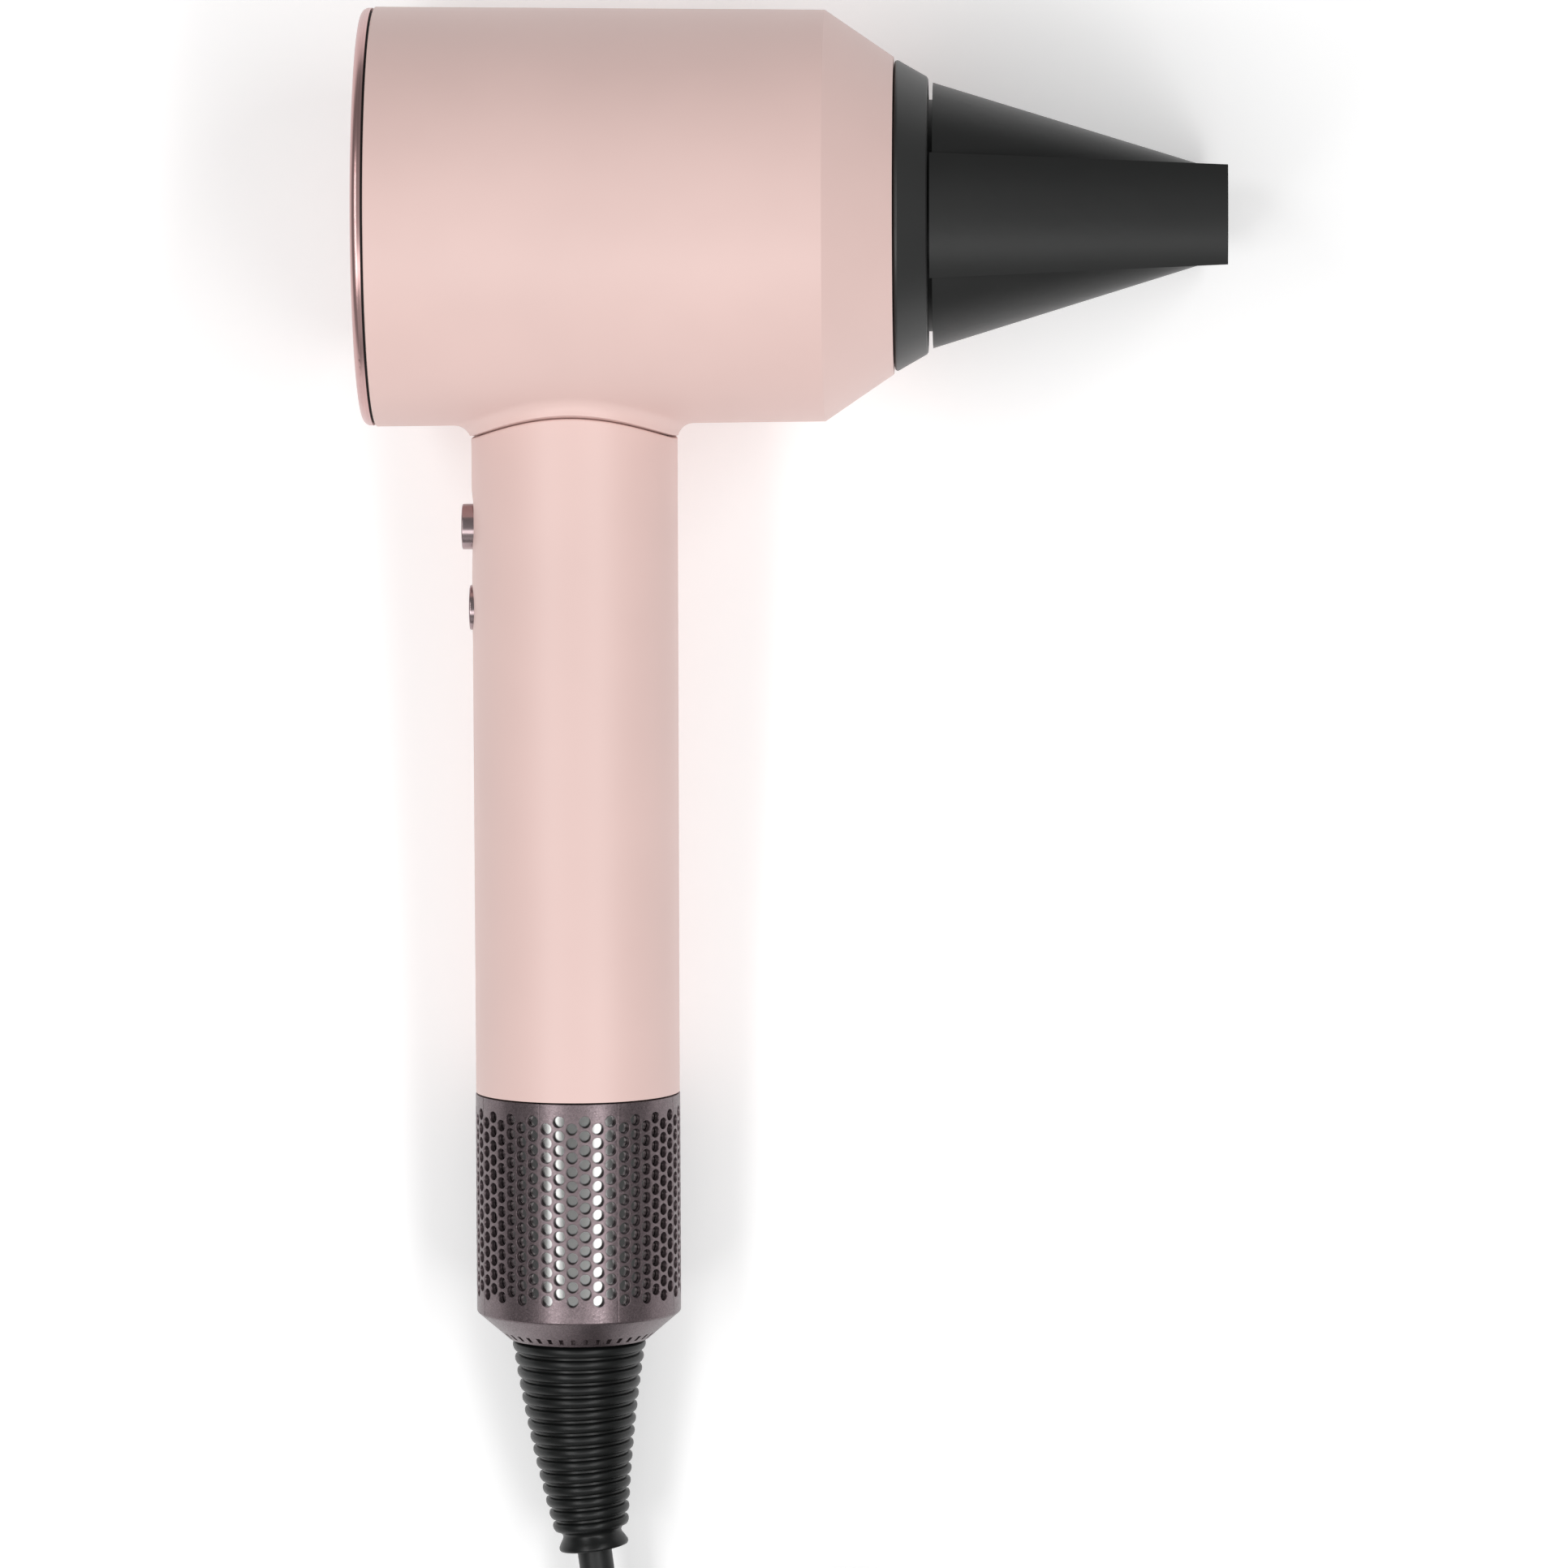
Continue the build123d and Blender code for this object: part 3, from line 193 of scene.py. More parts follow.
def woven_mesh(name, color, roughness):
    """Fine steel mesh round the handle: rows of tiny holes in bright wire, the holes painted
    near-black as painted shade of the dark inside behind them.
    """
    made = Shader(name, color, roughness, metallic=1.0)
    parts = made.node("ShaderNodeSeparateXYZ")
    made.link(made.dryer_place(), parts.inputs["Vector"])
    turn = made.math("ARCTAN2", parts.outputs["X"], parts.outputs["Z"])
    across = made.math("MULTIPLY", turn, MESH_R * 2 * math.pi / MESH_PITCH)
    along = made.math("MULTIPLY", parts.outputs["Y"], 2 * math.pi / MESH_PITCH)
    waves = [made.math("SINE", made.math("ADD", along, across)),
             made.math("SINE", made.math("SUBTRACT", along, across))]
    weave = made.math("ADD", *waves)
    hole = made.spread(weave, 0.0, 1.0)
    ramp = made.node("ShaderNodeValToRGB")
    ramp.color_ramp.elements[0].position = 0.42
    ramp.color_ramp.elements[0].color = (*color, 1.0)
    ramp.color_ramp.elements[1].position = 0.74
    # The holes' near-black is painted shade, standing in for the dark inside seen through them.
    ramp.color_ramp.elements[1].color = (0.01, 0.01, 0.011, 1.0)
    made.link(hole, ramp.inputs["Fac"])
    made.link(ramp.outputs["Color"], made.bsdf.inputs["Base Color"])
    made.bump(weave, -0.0016 * MM)
    return made.material


def rubber(name, color, roughness, grain=2600.0):
    """Matt moulded rubber with a dusty bloom in places."""
    made = Shader(name, color, roughness, specular=0.3)
    made.vary_color(made.noise(90.0, 4.0), 0.18)
    made.vary_roughness(made.noise(260.0, 3.0), 0.06)
    made.bump(made.noise(grain, 3.0), 0.008 * MM)
    return made.material


def circuit_board(name, color):
    """Green board with paler copper tracks under the lacquer."""
    made = Shader(name, color, 0.35, coat=0.3)
    tracks = made.node("ShaderNodeTexVoronoi", distance="CHEBYCHEV")
    tracks.inputs["Scale"].default_value = 420.0
    made.link(made.place(), tracks.inputs["Vector"])
    ramp = made.node("ShaderNodeValToRGB")
    ramp.color_ramp.interpolation = "CONSTANT"
    ramp.color_ramp.elements[0].color = (*[c * 1.9 for c in color], 1.0)
    ramp.color_ramp.elements[1].position = 0.25
    ramp.color_ramp.elements[1].color = (*color, 1.0)
    made.link(tracks.outputs["Distance"], ramp.inputs["Fac"])
    made.link(ramp.outputs["Color"], made.bsdf.inputs["Base Color"])
    return made.material


def strap_weave(name, color):
    """Woven strap with a furry loop face."""
    made = Shader(name, color, 0.85, sheen=0.6)
    made.set("Sheen Roughness", 0.5)
    threads = made.node("ShaderNodeTexVoronoi")
    threads.inputs["Scale"].default_value = 1900.0
    made.link(made.place(), threads.inputs["Vector"])
    made.vary_color(made.noise(700.0, 3.0), 0.3)
    made.bump(threads.outputs["Distance"], 0.12 * MM)
    return made.material


PINK = moulded("pink_satin", (0.79, 0.57, 0.53), 0.46, sheen=0.08)
ROSE = brushed_round("rose_metal", (0.56, 0.36, 0.35), 0.3)
MAUVE = flake_metal("mauve_metal", (0.165, 0.13, 0.138), 0.34, 0.85)
MAUVE_BUTTON = brushed_round("mauve_button", (0.42, 0.33, 0.34), 0.24, about_handle=True)
BLACK = moulded("black_satin", (0.02, 0.0205, 0.0203), 0.4)
CHARCOAL = moulded("charcoal_satin", (0.014, 0.0145, 0.0143), 0.4, specular=0.3)
RUBBER = rubber("black_rubber", (0.006, 0.0066, 0.0065), 0.36)
SHEATH = rubber("cord_rubber", (0.014, 0.015, 0.015), 0.45, grain=1500.0)
SOFT_RUBBER = rubber("grey_rubber", (0.02, 0.02, 0.02), 0.7)
MESH = woven_mesh("mesh_steel", (0.34, 0.34, 0.335), 0.15)
STEEL = brushed_round("steel", (0.5, 0.5, 0.51), 0.3)
NICKEL = brushed_round("magnet_nickel", (0.68, 0.67, 0.65), 0.18)
MICA = moulded("mica", (0.5, 0.44, 0.33), 0.6, grain=900.0, depth=0.02 * MM)
RIBBON = brushed_round("ribbon_wire", (0.36, 0.33, 0.31), 0.4)
COPPER = brushed_round("copper", (0.7, 0.3, 0.15), 0.3)
BOARD = circuit_board("circuit_board", (0.02, 0.12, 0.05))
WHITE = moulded("white_plastic", (0.72, 0.72, 0.7), 0.4)
GREY = moulded("grey_plastic", (0.16, 0.16, 0.17), 0.5)
STRAP = strap_weave("tie_fabric", (0.02, 0.02, 0.022))
LAMP = moulded("lamp_clear", (0.82, 0.87, 0.92), 0.15)

NODE_MATERIALS = {
    "head_shell": PINK, "handle_shell": PINK, "rear_cover": PINK,
    "rear_trim_ring": ROSE, "inner_sleeve": ROSE, "rear_gasket": SOFT_RUBBER,
    "speed_button": MAUVE_BUTTON, "heat_button": MAUVE_BUTTON,
    "power_slider": MAUVE_BUTTON, "cold_button": MAUVE_BUTTON,
    "light_pipes": LAMP, "button_board": BOARD, "heater_board": BOARD,
    "switch_board": BOARD, "motor_board": BOARD,
    "outlet_ring": BLACK, "outlet_magnets": NICKEL, "heater_frame": MICA,
    "heater_ribbons": RIBBON, "thermal_cutout": STEEL, "switch_carrier": GREY,
    "slide_switch": STEEL, "tact_switch": GREY, "neck_seal": SOFT_RUBBER,
    "motor_mount": SOFT_RUBBER, "motor_housing": GREY, "stator": STEEL,
    "stator_windings": COPPER, "motor_shaft": STEEL, "rotor_magnet": NICKEL,
    "shaft_bearing": STEEL, "impeller": WHITE, "inlet_frame": BLACK, "cord_clamp": GREY,
    "clamp_screws": STEEL, "filter_cage": MAUVE, "filter_mesh": MESH,
    "nozzle_collar": BLACK, "collar_steel_ring": STEEL, "nozzle_body": CHARCOAL,
    "nozzle_retainer": BLACK, "nozzle_core": CHARCOAL, "strain_relief": RUBBER,
    "cord_lead": SHEATH, "cord_coil": SHEATH, "cord_tail": SHEATH, "cord_tie": STRAP,
    "plug_body": RUBBER, "plug_pins": NICKEL,
}
for name, material in NODE_MATERIALS.items():
    mesh = NODES[name].data
    mesh.materials.clear()
    mesh.materials.append(material)
    for face in mesh.polygons:
        face.material_index = 0


# ------------------------------------------------------------------------------- helpers
def piece_from(name, build, material, body, sharp=math.radians(32)):
    """Makes a piece from a bmesh in the dryer's axes and lets it ride on a body."""
    bmesh.ops.remove_doubles(build, verts=build.verts, dist=1e-7)
    bmesh.ops.recalc_face_normals(build, faces=build.faces)
    build.transform(DRYER)
    mesh = bpy.data.meshes.new(name)
    build.to_mesh(mesh)
    build.free()
    for face in mesh.polygons:
        face.use_smooth = True
    mesh.set_sharp_from_angle(angle=sharp)
    mesh.materials.append(material)
    piece = bpy.data.objects.new(name, mesh)
    bpy.context.scene.collection.objects.link(piece)
    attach(piece, body)
    return piece


def loop_ring(build, rings, close_rings=False):
    """Joins rings of vertices, each a closed loop of the same count, with quads."""
    pairs = list(zip(rings, rings[1:]))
    if close_rings:
        pairs.append((rings[-1], rings[0]))
    for first, second in pairs:
        for index in range(len(first)):
            after = (index + 1) % len(first)
            build.faces.new((first[index], first[after], second[after], second[index]))


# ----------------------------------------------------------------------------- filter cage
# Thin round cover with eight panels.  Each panel has six columns of round holes, every
# second column half a pitch lower; a fine mould line parts the panels.
CAGE_R = 19.5 * MM
CAGE_WALL = 1.0 * MM
CAGE_INNER_R = CAGE_R - CAGE_WALL
CAGE_TOP = 167.0 * MM
CAGE_EDGE = 208.9 * MM  # where the bevel starts
CAGE_END = 214.2 * MM
PANEL_TOP = CAGE_TOP + 0.12 * MM
PANEL_END = CAGE_EDGE - 0.2 * MM
MOUTH_R = 13.35 * MM
PANELS = 8
COLUMNS = 6
ROWS = 13
HOLE_R = 1.1 * MM
HOLE_RIM = 0.13 * MM
ROW_PITCH = 2.74 * MM
FIRST_ROW = 170.35 * MM
COLUMN_STEP = math.radians(7.38)
PANEL_STEP = 2 * math.pi / PANELS
PANEL_MARGIN = (PANEL_STEP - COLUMNS * COLUMN_STEP) / 2
CAGE_TURN = math.radians(2.7)  # the panels' turn about the handle
HOLE_POINTS = 16
HALF_ROWS = 2 * ROWS + 1
LINE_TURN = math.radians(0.3)  # half the width of a mould line
LINE_DEPTH = 0.09 * MM
SLOTS = 40
SLOT_TURN = math.radians(3.2)
SLOT_TOP = 0.70  # shares of the way down the bevel
SLOT_END = 0.90
BEVEL_WALL = 0.85 * MM
BEVEL_MESH_WALL = 0.2 * MM
BEVEL_MESH_AROUND = 96
NEARLY_ROUND = 0.8  # least cosine between a face and the cylinder that it belongs to


def on_cage(turn, down, radius):
    """Point at an angle from the flank, a distance down the handle and a radius."""
    return Vector((radius * math.sin(turn), -down, radius * math.cos(turn)))


def half_row(index):
    """Distance down the handle of the line between half rows."""
    return FIRST_ROW - ROW_PITCH / 2 + index * ROW_PITCH / 2


def cage_column(build, left, right, low_set, radius, inner):
    """One column of cells round its holes, outside or inside, with the plain ends."""
    centre = (left + right) / 2
    shift = 1 if low_set else 0

    def vert(turn, down):
        return build.verts.new(on_cage(turn, down, radius))

    for row in range(ROWS):
        k = 2 * row + shift
        middle = half_row(k + 1)
        border = [
            (centre, half_row(k)), (left, half_row(k)), (left, half_row(k + 1)),
            (left, half_row(k + 2)), (centre, half_row(k + 2)), (right, half_row(k + 2)),
            (right, half_row(k + 1)), (right, half_row(k)),
        ]
        rim = HOLE_R if inner else HOLE_R + HOLE_RIM
        circle = []
        for step in range(HOLE_POINTS):
            angle = 2 * math.pi * step / HOLE_POINTS
            turn = centre - rim * math.sin(angle) / radius
            circle.append((turn, middle - rim * math.cos(angle)))
        outer_verts = [vert(*point) for point in border]
        rim_verts = [vert(*point) for point in circle]
        for step in range(8):
            a, b = rim_verts[2 * step], rim_verts[2 * step + 1]
            c = rim_verts[(2 * step + 2) % HOLE_POINTS]
            build.faces.new((outer_verts[step], a, b, c, outer_verts[(step + 1) % 8]))
    first, last = shift, 2 * ROWS + shift
    above = [(left, half_row(k)) for k in range(0, first + 1)]
    above += [(centre, half_row(first))]
    above += [(right, half_row(k)) for k in range(first, -1, -1)]
    above += [(right, PANEL_TOP), (centre, PANEL_TOP), (left, PANEL_TOP)]
    build.faces.new([vert(*point) for point in above])
    below = [(left, half_row(k)) for k in range(HALF_ROWS, last - 1, -1)]
    below += [(centre, half_row(last))]
    below += [(right, half_row(k)) for k in range(last, HALF_ROWS + 1)]
    below += [(right, PANEL_END), (centre, PANEL_END), (left, PANEL_END)]
    build.faces.new([vert(*point) for point in below])


def cage_margin(build, left, right, left_r, right_r):
    """Plain strip between a panel's outer column and its mould line."""
    levels = [PANEL_TOP] + [half_row(k) for k in range(HALF_ROWS + 1)] + [PANEL_END]
    for high, low in zip(levels, levels[1:]):
        corners = [(left, high, left_r), (left, low, left_r)]
        corners += [(right, low, right_r), (right, high, right_r)]
        build.faces.new([build.verts.new(on_cage(*corner)) for corner in corners])


def hole_walls(build, centre, middle):
    """The wall of one round hole, with its rim rounded off outside."""
    rings = []
    for radius, reach in (
        (CAGE_R, HOLE_R + HOLE_RIM),
        (CAGE_R - 0.05 * MM, HOLE_R + 0.04 * MM),
        (CAGE_R - 0.13 * MM, HOLE_R),
        (CAGE_INNER_R, HOLE_R),
    ):
        ring = []
        for step in range(HOLE_POINTS):
            angle = 2 * math.pi * step / HOLE_POINTS
            turn = centre - reach * math.sin(angle) / radius
            ring.append(build.verts.new(on_cage(turn, middle - reach * math.cos(angle), radius)))
        rings.append(ring)
    loop_ring(build, rings)


def cage_turns():
    """Angles round the cage at which its faces meet, for the plain rings above and below."""
    turns = []
    for panel in range(PANELS):
        start = (panel - 0.5) * PANEL_STEP
        turns += [start, start + LINE_TURN, start + PANEL_MARGIN]
        for column in range(COLUMNS):
            turns += [start + PANEL_MARGIN + (column + 0.5) * COLUMN_STEP]
            turns += [start + PANEL_MARGIN + (column + 1) * COLUMN_STEP]
        turns += [start + PANEL_STEP - LINE_TURN]
    return turns


def cone_point(turn, share, inward=0.0):
    """Point on the cage's bevel: share 0 at its upper edge, 1 at the mouth."""
    radius = CAGE_R + (MOUTH_R - CAGE_R) * share - inward
    down = CAGE_EDGE + (CAGE_END - CAGE_EDGE) * share - inward * 0.8
    return on_cage(turn, down, radius)


def cage_bevel(build):
    """The bevel with its ring of small slots near the mouth."""
    step = 2 * math.pi / SLOTS
    levels = (0.04, 0.4, SLOT_TOP, SLOT_END, 1.0)
    for slot in range(SLOTS):
        left = slot * step
        edges = (left, left + (step - SLOT_TURN) / 2, left + (step + SLOT_TURN) / 2, left + step)
        for inward in (0.0, BEVEL_WALL):
            for top, end in zip(levels, levels[1:]):
                for a, b in zip(edges, edges[1:]):
                    if top == SLOT_TOP and a == edges[1]:
                        continue
                    corners = ((a, top), (a, end), (b, end), (b, top))
                    build.faces.new([build.verts.new(cone_point(t, s, inward)) for t, s in corners])
        rim = [(edges[1], SLOT_TOP), (edges[1], SLOT_END)]
        rim += [(edges[2], SLOT_END), (edges[2], SLOT_TOP)]
        loop_ring(build, [
            [build.verts.new(cone_point(t, s, inward)) for t, s in rim]
            for inward in (0.0, BEVEL_WALL)
        ])
        mouth = [(cone_point(t, 1.0), cone_point(t, 1.0, BEVEL_WALL)) for t in edges]
        for (a, b), (c, d) in zip(mouth, mouth[1:]):
            build.faces.new([build.verts.new(p) for p in (a, b, d, c)])


def make_cage():
    build = bmesh.new()
    for panel in range(PANELS):
        start = (panel - 0.5) * PANEL_STEP
        end = start + PANEL_STEP
        for column in range(COLUMNS):
            left = start + PANEL_MARGIN + column * COLUMN_STEP
            low_set = column % 2 == 0
            cage_column(build, left, left + COLUMN_STEP, low_set, CAGE_R, False)
            cage_column(build, left, left + COLUMN_STEP, low_set, CAGE_INNER_R, True)
            for row in range(ROWS):
                middle = half_row(2 * row + (1 if low_set else 0) + 1)
                hole_walls(build, left + COLUMN_STEP / 2, middle)
        for a, b, ra, rb in (
            (start, start + LINE_TURN, CAGE_R - LINE_DEPTH, CAGE_R),
            (start + LINE_TURN, start + PANEL_MARGIN, CAGE_R, CAGE_R),
            (end - PANEL_MARGIN, end - LINE_TURN, CAGE_R, CAGE_R),
            (end - LINE_TURN, end, CAGE_R, CAGE_R - LINE_DEPTH),
        ):
            cage_margin(build, a, b, ra, rb)
            cage_margin(build, a, b, CAGE_INNER_R, CAGE_INNER_R)
    turns = cage_turns()
    lines = {round((panel - 0.5) * PANEL_STEP, 6) for panel in range(PANELS)}

    def ring(down, radius):
        grooved = lines if radius > CAGE_INNER_R + 0.3 * MM else set()
        verts = []
        for turn in turns:
            groove = LINE_DEPTH if round(turn, 6) in grooved else 0.0
            verts.append(build.verts.new(on_cage(turn, down, radius - groove)))
        return verts

    loop_ring(build, [
        ring(PANEL_TOP, CAGE_R),
        ring(CAGE_TOP + 0.03 * MM, CAGE_R - 0.04 * MM),
        ring(CAGE_TOP, CAGE_R - 0.12 * MM),
        ring(CAGE_TOP, CAGE_INNER_R),
        ring(PANEL_TOP, CAGE_INNER_R),
    ])
    loop_ring(build, [
        ring(PANEL_END, CAGE_R),
        ring(CAGE_EDGE, CAGE_R - 0.06 * MM),
        ring(CAGE_EDGE + 0.21 * MM, CAGE_R - 0.26 * MM),
    ])
    loop_ring(build, [
        ring(PANEL_END, CAGE_INNER_R),
        ring(CAGE_EDGE - 0.47 * MM, CAGE_INNER_R - 0.1 * MM),
    ])
    cage_bevel(build)
    twist = Matrix.Rotation(CAGE_TURN, 3, "Y")
    bmesh.ops.rotate(build, verts=build.verts, cent=(0, 0, 0), matrix=twist)
    return piece_from("filter_cage_shell", build, MAUVE, "filter")


def true_round(piece, radius):
    """Gives the faces on the cage's outer cylinder the cylinder's own normals."""
    mesh = piece.data
    back = DRYER.inverted()
    radial = {}
    for vertex in mesh.vertices:
        spot = back @ vertex.co
        out = Vector((spot.x, 0.0, spot.z))
        if abs(out.length - radius) < 0.01 * MM:
            radial[vertex.index] = (DRYER.to_3x3() @ out).normalized()
    normals = [Vector(corner.vector) for corner in mesh.corner_normals]
    for face in mesh.polygons:
        level = (back.to_3x3() @ face.normal).xz.length
        outward = face.normal.dot(radial.get(face.vertices[0], face.normal))
        if min(level, outward) <= NEARLY_ROUND:
            continue
        for corner in face.loop_indices:
            normal = radial.get(mesh.loops[corner].vertex_index)
            if normal:
                normals[corner] = normal
    mesh.normals_split_custom_set(normals)


cage = make_cage()
true_round(cage, CAGE_R)
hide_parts("filter_cage")


def make_bevel_mesh():
    """Ring of bright mesh that shows through the bevel's slots."""
    build = bmesh.new()
    rings = []
    near = BEVEL_WALL + 0.1 * MM
    far = near + BEVEL_MESH_WALL
    for share, inward in ((0.55, near), (0.97, near), (0.97, far), (0.55, far)):
        rings.append([
            build.verts.new(cone_point(2 * math.pi * step / BEVEL_MESH_AROUND, share, inward))
            for step in range(BEVEL_MESH_AROUND)
        ])
    loop_ring(build, rings, close_rings=True)
    return piece_from("filter_bevel_mesh", build, MESH, "filter")


make_bevel_mesh()

# --------------------------------------------------------------------------- strain relief
# Ribbed rubber sleeve that bends gently towards the nozzle's side and ends in a flared skirt.
RELIEF_START = 214.4 * MM
RELIEF_BEND = 310 * MM
RIBS = 15
RIB_PITCH = 2.47 * MM
TOP_R = 12.7 * MM
END_R = 7.3 * MM
RIB_DEPTH = 0.95 * MM
RIB_STEPS = 8
STEM_R = 5.9 * MM
AROUND = 72


def relief_point(distance, radius, turn):
    """Point on the bent sleeve at a distance from its root."""
    bend = max(distance, 0.0) / RELIEF_BEND
    straight = min(distance, 0.0)
    middle = Vector((RELIEF_BEND * (1 - math.cos(bend)),
                     -RELIEF_START - RELIEF_BEND * math.sin(bend) - straight, 0))
    sideways = Vector((math.cos(bend), math.sin(bend), 0))
    return middle + radius * (math.sin(turn) * sideways + math.cos(turn) * Vector((0, 0, 1)))


def relief_outline():
    """(distance, radius) down the outside: stem, ribs, neck, skirt and the skirt's inside."""
    outline = [(-16 * MM, STEM_R), (-0.1 * MM, STEM_R), (-0.1 * MM, 11.6 * MM)]
    for rib in range(RIBS):
        crest = TOP_R + (END_R - TOP_R) * rib / (RIBS - 1)
        for step in range(RIB_STEPS + 1):
            share = step / RIB_STEPS
            swell = math.sqrt(max(0.0, 1 - (2 * share - 1) ** 2)) ** 0.8
            fall = (END_R - TOP_R) / (RIBS - 1) * (share - 0.5)
            outline.append((
                (rib + 0.08 + 0.84 * share) * RIB_PITCH,
                crest + fall - RIB_DEPTH * (1 - swell),
            ))
    base = RIBS * RIB_PITCH
    outline += [
        (base + 0.25 * MM, 5.75 * MM), (base + 0.7 * MM, 5.6 * MM), (base + 1.2 * MM, 5.75 * MM),
        (base + 2.0 * MM, 6.25 * MM), (base + 2.7 * MM, 6.62 * MM), (base + 3.1 * MM, 6.66 * MM),
        (base + 3.4 * MM, 6.5 * MM), (base + 3.5 * MM, 6.2 * MM), (base + 3.45 * MM, 4.6 * MM),
        (base + 3.2 * MM, CORD_D / 2 + 0.05 * MM),
    ]
    return outline


def make_relief():
    build = bmesh.new()
    rings = []
    for distance, radius in relief_outline():
        rings.append([
            build.verts.new(relief_point(distance, radius, 2 * math.pi * k / AROUND))
            for k in range(AROUND)
        ])
    loop_ring(build, rings)
    build.faces.new(rings[0])
    build.faces.new(rings[-1])
    return piece_from("strain_relief_ribs", build, RUBBER, "dryer",
                      sharp=math.radians(60))


relief = make_relief()
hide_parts("strain_relief")

# ------------------------------------------------------------------------------------ cord
# One smooth line: out of the relief, down to the surface, eleven turns in three columns and
# four layers, then off the coil's top to the plug.
LEAD = [
    (-39.1, -146.7, 14.99), (-37.4, -159.5, 13.75), (-35.2, -173.5, 10.7),
    (-33.8, -187.5, 6.9), (-33.3, -197.5, 4.9), (-33.2, -205.5, 4.3),
]
TAIL = [
    (-11.6, -240.5, 24.1), (0.7, -256.3, 22.0), (18.0, -266.3, 16.5),
    (37.9, -268.4, 10.5), (57.5, -268.0, 8.0),
]
COIL_CENTRE = Vector((10.0, -205.0, 0.0)) * MM
COIL_COLUMNS = (43.2 * MM, 36.5 * MM, 29.8 * MM)
COIL_FLOOR = 4.3 * MM
COIL_TURNS = 11
TURN_POINTS = 18
LEAVING_TURN = 1 / 12  # the tail leaves this much of a turn after the last whole one
MOVE_FROM = 0.78  # a turn moves over to the next one's place from here to its end
MOVE_SHARE = 0.22


def coil_place(number):
    """(radius, height) of one turn: columns run in and out on layers that go up."""
    layer, column = divmod(min(number, COIL_TURNS - 1), len(COIL_COLUMNS))
    order = COIL_COLUMNS if layer % 2 == 0 else COIL_COLUMNS[::-1]
    return order[column], COIL_FLOOR + layer * CORD_D


def coil_points():
    points = []
    for step in range(1, int((COIL_TURNS + LEAVING_TURN) * TURN_POINTS) + 1):
        number, part = divmod(step / TURN_POINTS, 1.0)
        here, there = coil_place(int(number)), coil_place(int(number) + 1)
        move = max(0.0, (part - MOVE_FROM) / MOVE_SHARE)
        move = move * move * (3 - 2 * move)
        radius, height = (a + (b - a) * move for a, b in zip(here, there))
        angle = math.pi + 2 * math.pi * step / TURN_POINTS
        spot = Vector((radius * math.cos(angle), radius * math.sin(angle), height))
        points.append(COIL_CENTRE + spot)
    return points


def make_cord():
    points = [Vector(p) * MM for p in LEAD] + coil_points() + [Vector(p) * MM for p in TAIL]
    curve = bpy.data.curves.new("mains_cord", "CURVE")
    curve.dimensions = "3D"
    spline = curve.splines.new("NURBS")
    spline.points.add(len(points) - 1)
    for knot, point in zip(spline.points, points):
        knot.co = (*point, 1.0)
    spline.order_u = 3
    spline.use_endpoint_u = True
    spline.resolution_u = 6
    curve.bevel_depth = CORD_D / 2
    curve.bevel_resolution = 8
    curve.use_fill_caps = True
    curve.materials.append(SHEATH)
    cord = bpy.data.objects.new("mains_cord", curve)
    bpy.context.scene.collection.objects.link(cord)
    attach(cord, "dryer")
    return cord


cord = make_cord()
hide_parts("cord_lead", "cord_coil", "cord_tail")

# ------------------------------------------------------------------------------- cord tie
# Hook-and-loop strap wrapped once round the coil's turns.
TIE_START = math.radians(-4.0)
TIE_ARC = math.radians(24.0)
TIE_THICK = 0.9 * MM
TIE_IN = 25.7 * MM
TIE_OUT = 47.3 * MM
TIE_TOP = 28.1 * MM
TIE_CORNER = 3.2 * MM
TIE_MIDDLE = (36.5 * MM, 14 * MM)  # inside the section, for telling its sides apart
TIE_WIDTHS = 14
TIE_EDGE = 0.12 * MM  # how much thinner the strap's edges are


def tie_outline():
    """(reach, height) once round the section, with rounded corners."""
    low = TIE_THICK / 2 + 0.1 * MM
    corners = ((TIE_OUT, low), (TIE_OUT, TIE_TOP), (TIE_IN, TIE_TOP), (TIE_IN, low))
    points = []
    for index, (reach, height) in enumerate(corners):
        reach -= math.copysign(TIE_CORNER, reach - TIE_MIDDLE[0])
        height -= math.copysign(TIE_CORNER, height - TIE_MIDDLE[1])
        for step in range(7):
            angle = math.radians(-90 + 90 * index + 15 * step)
            offset = (TIE_CORNER * math.cos(angle), TIE_CORNER * math.sin(angle))
            points.append((reach + offset[0], height + offset[1]))
    return points


def make_tie():
    build = bmesh.new()
    outline = tie_outline()
    outline.append(outline[0])
    shells = []
    for lift in (-TIE_THICK / 2, TIE_THICK / 2):
        rows = []
        for (reach, height), (next_reach, next_height) in zip(outline, outline[1:] + outline[1:2]):
            ahead = Vector((next_reach - reach, next_height - height)).normalized()
            out = Vector((ahead.y, -ahead.x)) * lift
            row = []
            for step in range(TIE_WIDTHS + 1):
                turn = TIE_START + TIE_ARC * step / TIE_WIDTHS
                edge = abs(2 * step / TIE_WIDTHS - 1) ** 8 * TIE_EDGE
                r = reach + out.x * (1 - edge / TIE_THICK)
                z = height + out.y * (1 - edge / TIE_THICK)
                spot = Vector((r * math.cos(turn), r * math.sin(turn), z))
                row.append(build.verts.new(COIL_CENTRE + spot))
            rows.append(row)
        shells.append(rows)
        for first, second in zip(rows, rows[1:]):
            for step in range(TIE_WIDTHS):
                build.faces.new((first[step], first[step + 1], second[step + 1], second[step]))
    for side in (0, TIE_WIDTHS):
        for index in range(len(outline) - 1):
            build.faces.new((
                shells[0][index][side], shells[0][index + 1][side],
                shells[1][index + 1][side], shells[1][index][side],
            ))
    build.transform(DRYER.inverted())
    return piece_from("cord_tie_strap", build, STRAP, "dryer")


tie = make_tie()
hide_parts("cord_tie")

# ----------------------------------------------------------------------- shading of nodes
for node in NODES.values():
    for face in node.data.polygons:
        face.use_smooth = True

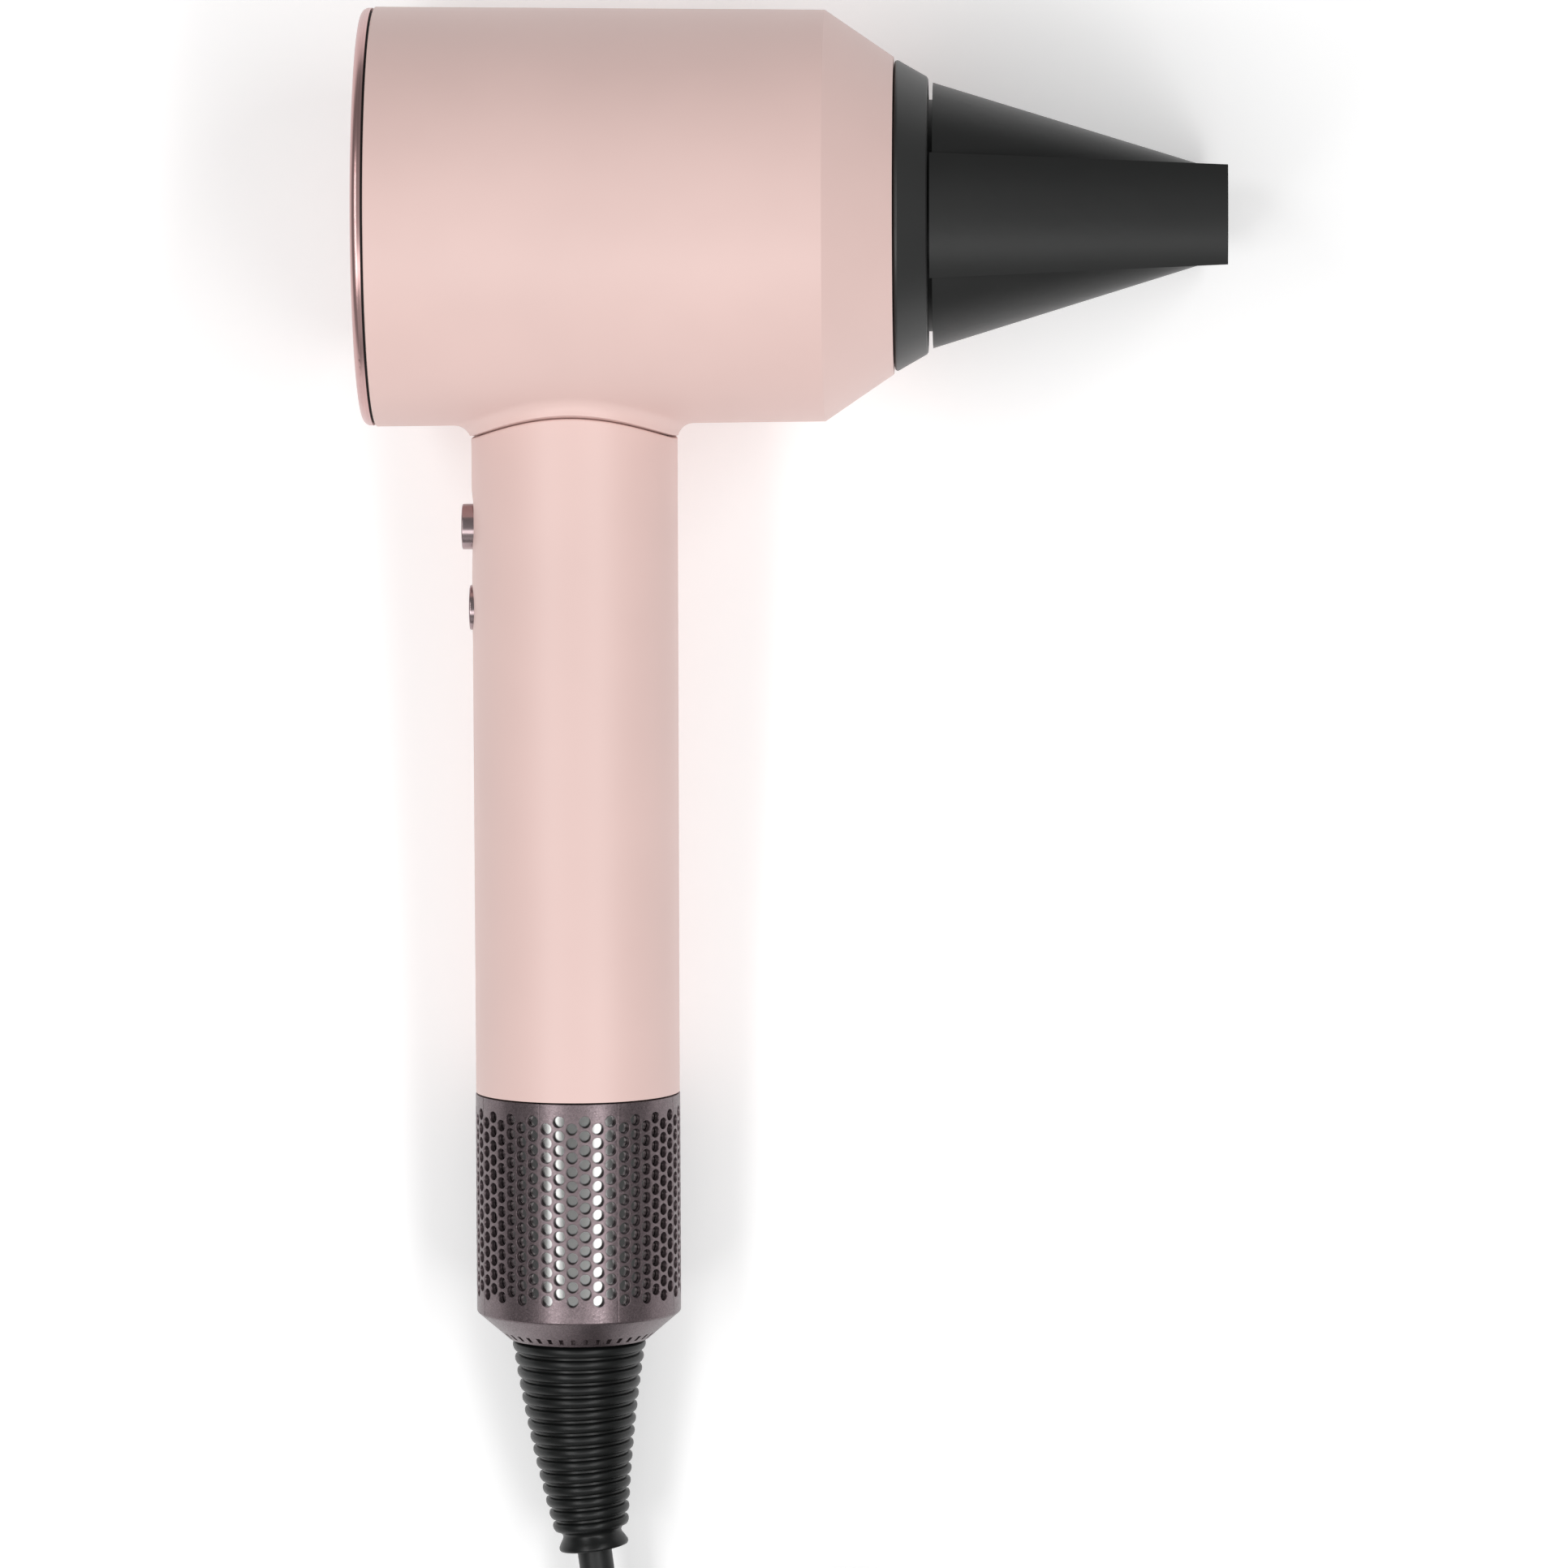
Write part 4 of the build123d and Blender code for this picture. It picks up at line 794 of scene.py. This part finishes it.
# ----------------------------------------------------------------- floor, light and camera
FLOOR_REACH = 6.0
floor_mesh = bpy.data.meshes.new("floor")
floor_mesh.from_pydata(
    [(-FLOOR_REACH, -FLOOR_REACH, 0), (FLOOR_REACH, -FLOOR_REACH, 0),
     (FLOOR_REACH, FLOOR_REACH, 0), (-FLOOR_REACH, FLOOR_REACH, 0)],
    [], [(0, 1, 2, 3)],
)
floor = bpy.data.objects.new("floor", floor_mesh)
bpy.context.scene.collection.objects.link(floor)
floor_look = Shader("floor_paper", (0.93, 0.93, 0.93), 0.9, specular=0.1)
floor_look.set("Emission Color", (1.0, 1.0, 1.0, 1.0))
floor_look.set("Emission Strength", 0.22)
floor_mesh.materials.append(floor_look.material)


def area_light(name, place, aim, size, power):
    """White rectangular softbox that faces its aim."""
    data = bpy.data.lights.new(name, "AREA")
    data.shape = "RECTANGLE"
    data.size, data.size_y = size
    data.energy = power
    lamp = bpy.data.objects.new(name, data)
    lamp.location = place
    lamp.rotation_euler = (Vector(aim) - Vector(place)).to_track_quat("-Z", "Y").to_euler()
    bpy.context.scene.collection.objects.link(lamp)


area_light("key_softbox", (0.03, -0.64, 1.3), (0, -0.05, 0), (1.5, 0.4), 4.6)
area_light("low_fill", (0.15, -1.3, 0.7), (0, 0.0, 0), (1.5, 0.5), 0.8)
area_light("left_softbox", (-0.62, -0.1, 1.15), (0, -0.05, 0), (1.6, 0.26), 6.9)
area_light("right_softbox", (0.59, -0.1, 1.15), (0, -0.05, 0), (1.6, 0.26), 6.9)

world = bpy.data.worlds.new("soft_room")
world.use_nodes = True
backdrop = world.node_tree.nodes["Background"]
backdrop.inputs["Color"].default_value = (1.0, 1.0, 1.0, 1.0)
backdrop.inputs["Strength"].default_value = 0.23
bpy.context.scene.world = world
bpy.context.scene.view_settings.view_transform = "Standard"

VIEW_DISTANCE = 1.9
VIEW_LEAN = math.radians(2.0)
VIEW_WIDTH = 0.2966  # what the frame spans at the height of the head's axis
VIEW_AIM = Vector((39.9, -107.45, 0.0)) * MM  # from the head's centre
SENSOR = 36.0
target = CENTRE + VIEW_AIM
camera_data = bpy.data.cameras.new("camera")
camera_data.sensor_width = SENSOR
camera_data.lens = SENSOR * VIEW_DISTANCE / VIEW_WIDTH
camera_data.clip_start = 0.05
camera_data.clip_end = 20.0
camera = bpy.data.objects.new("camera", camera_data)
camera.location = target + VIEW_DISTANCE * Vector((math.sin(VIEW_LEAN), 0, math.cos(VIEW_LEAN)))
camera.rotation_euler = (0.0, VIEW_LEAN, 0.0)
bpy.context.scene.collection.objects.link(camera)
bpy.context.scene.camera = camera
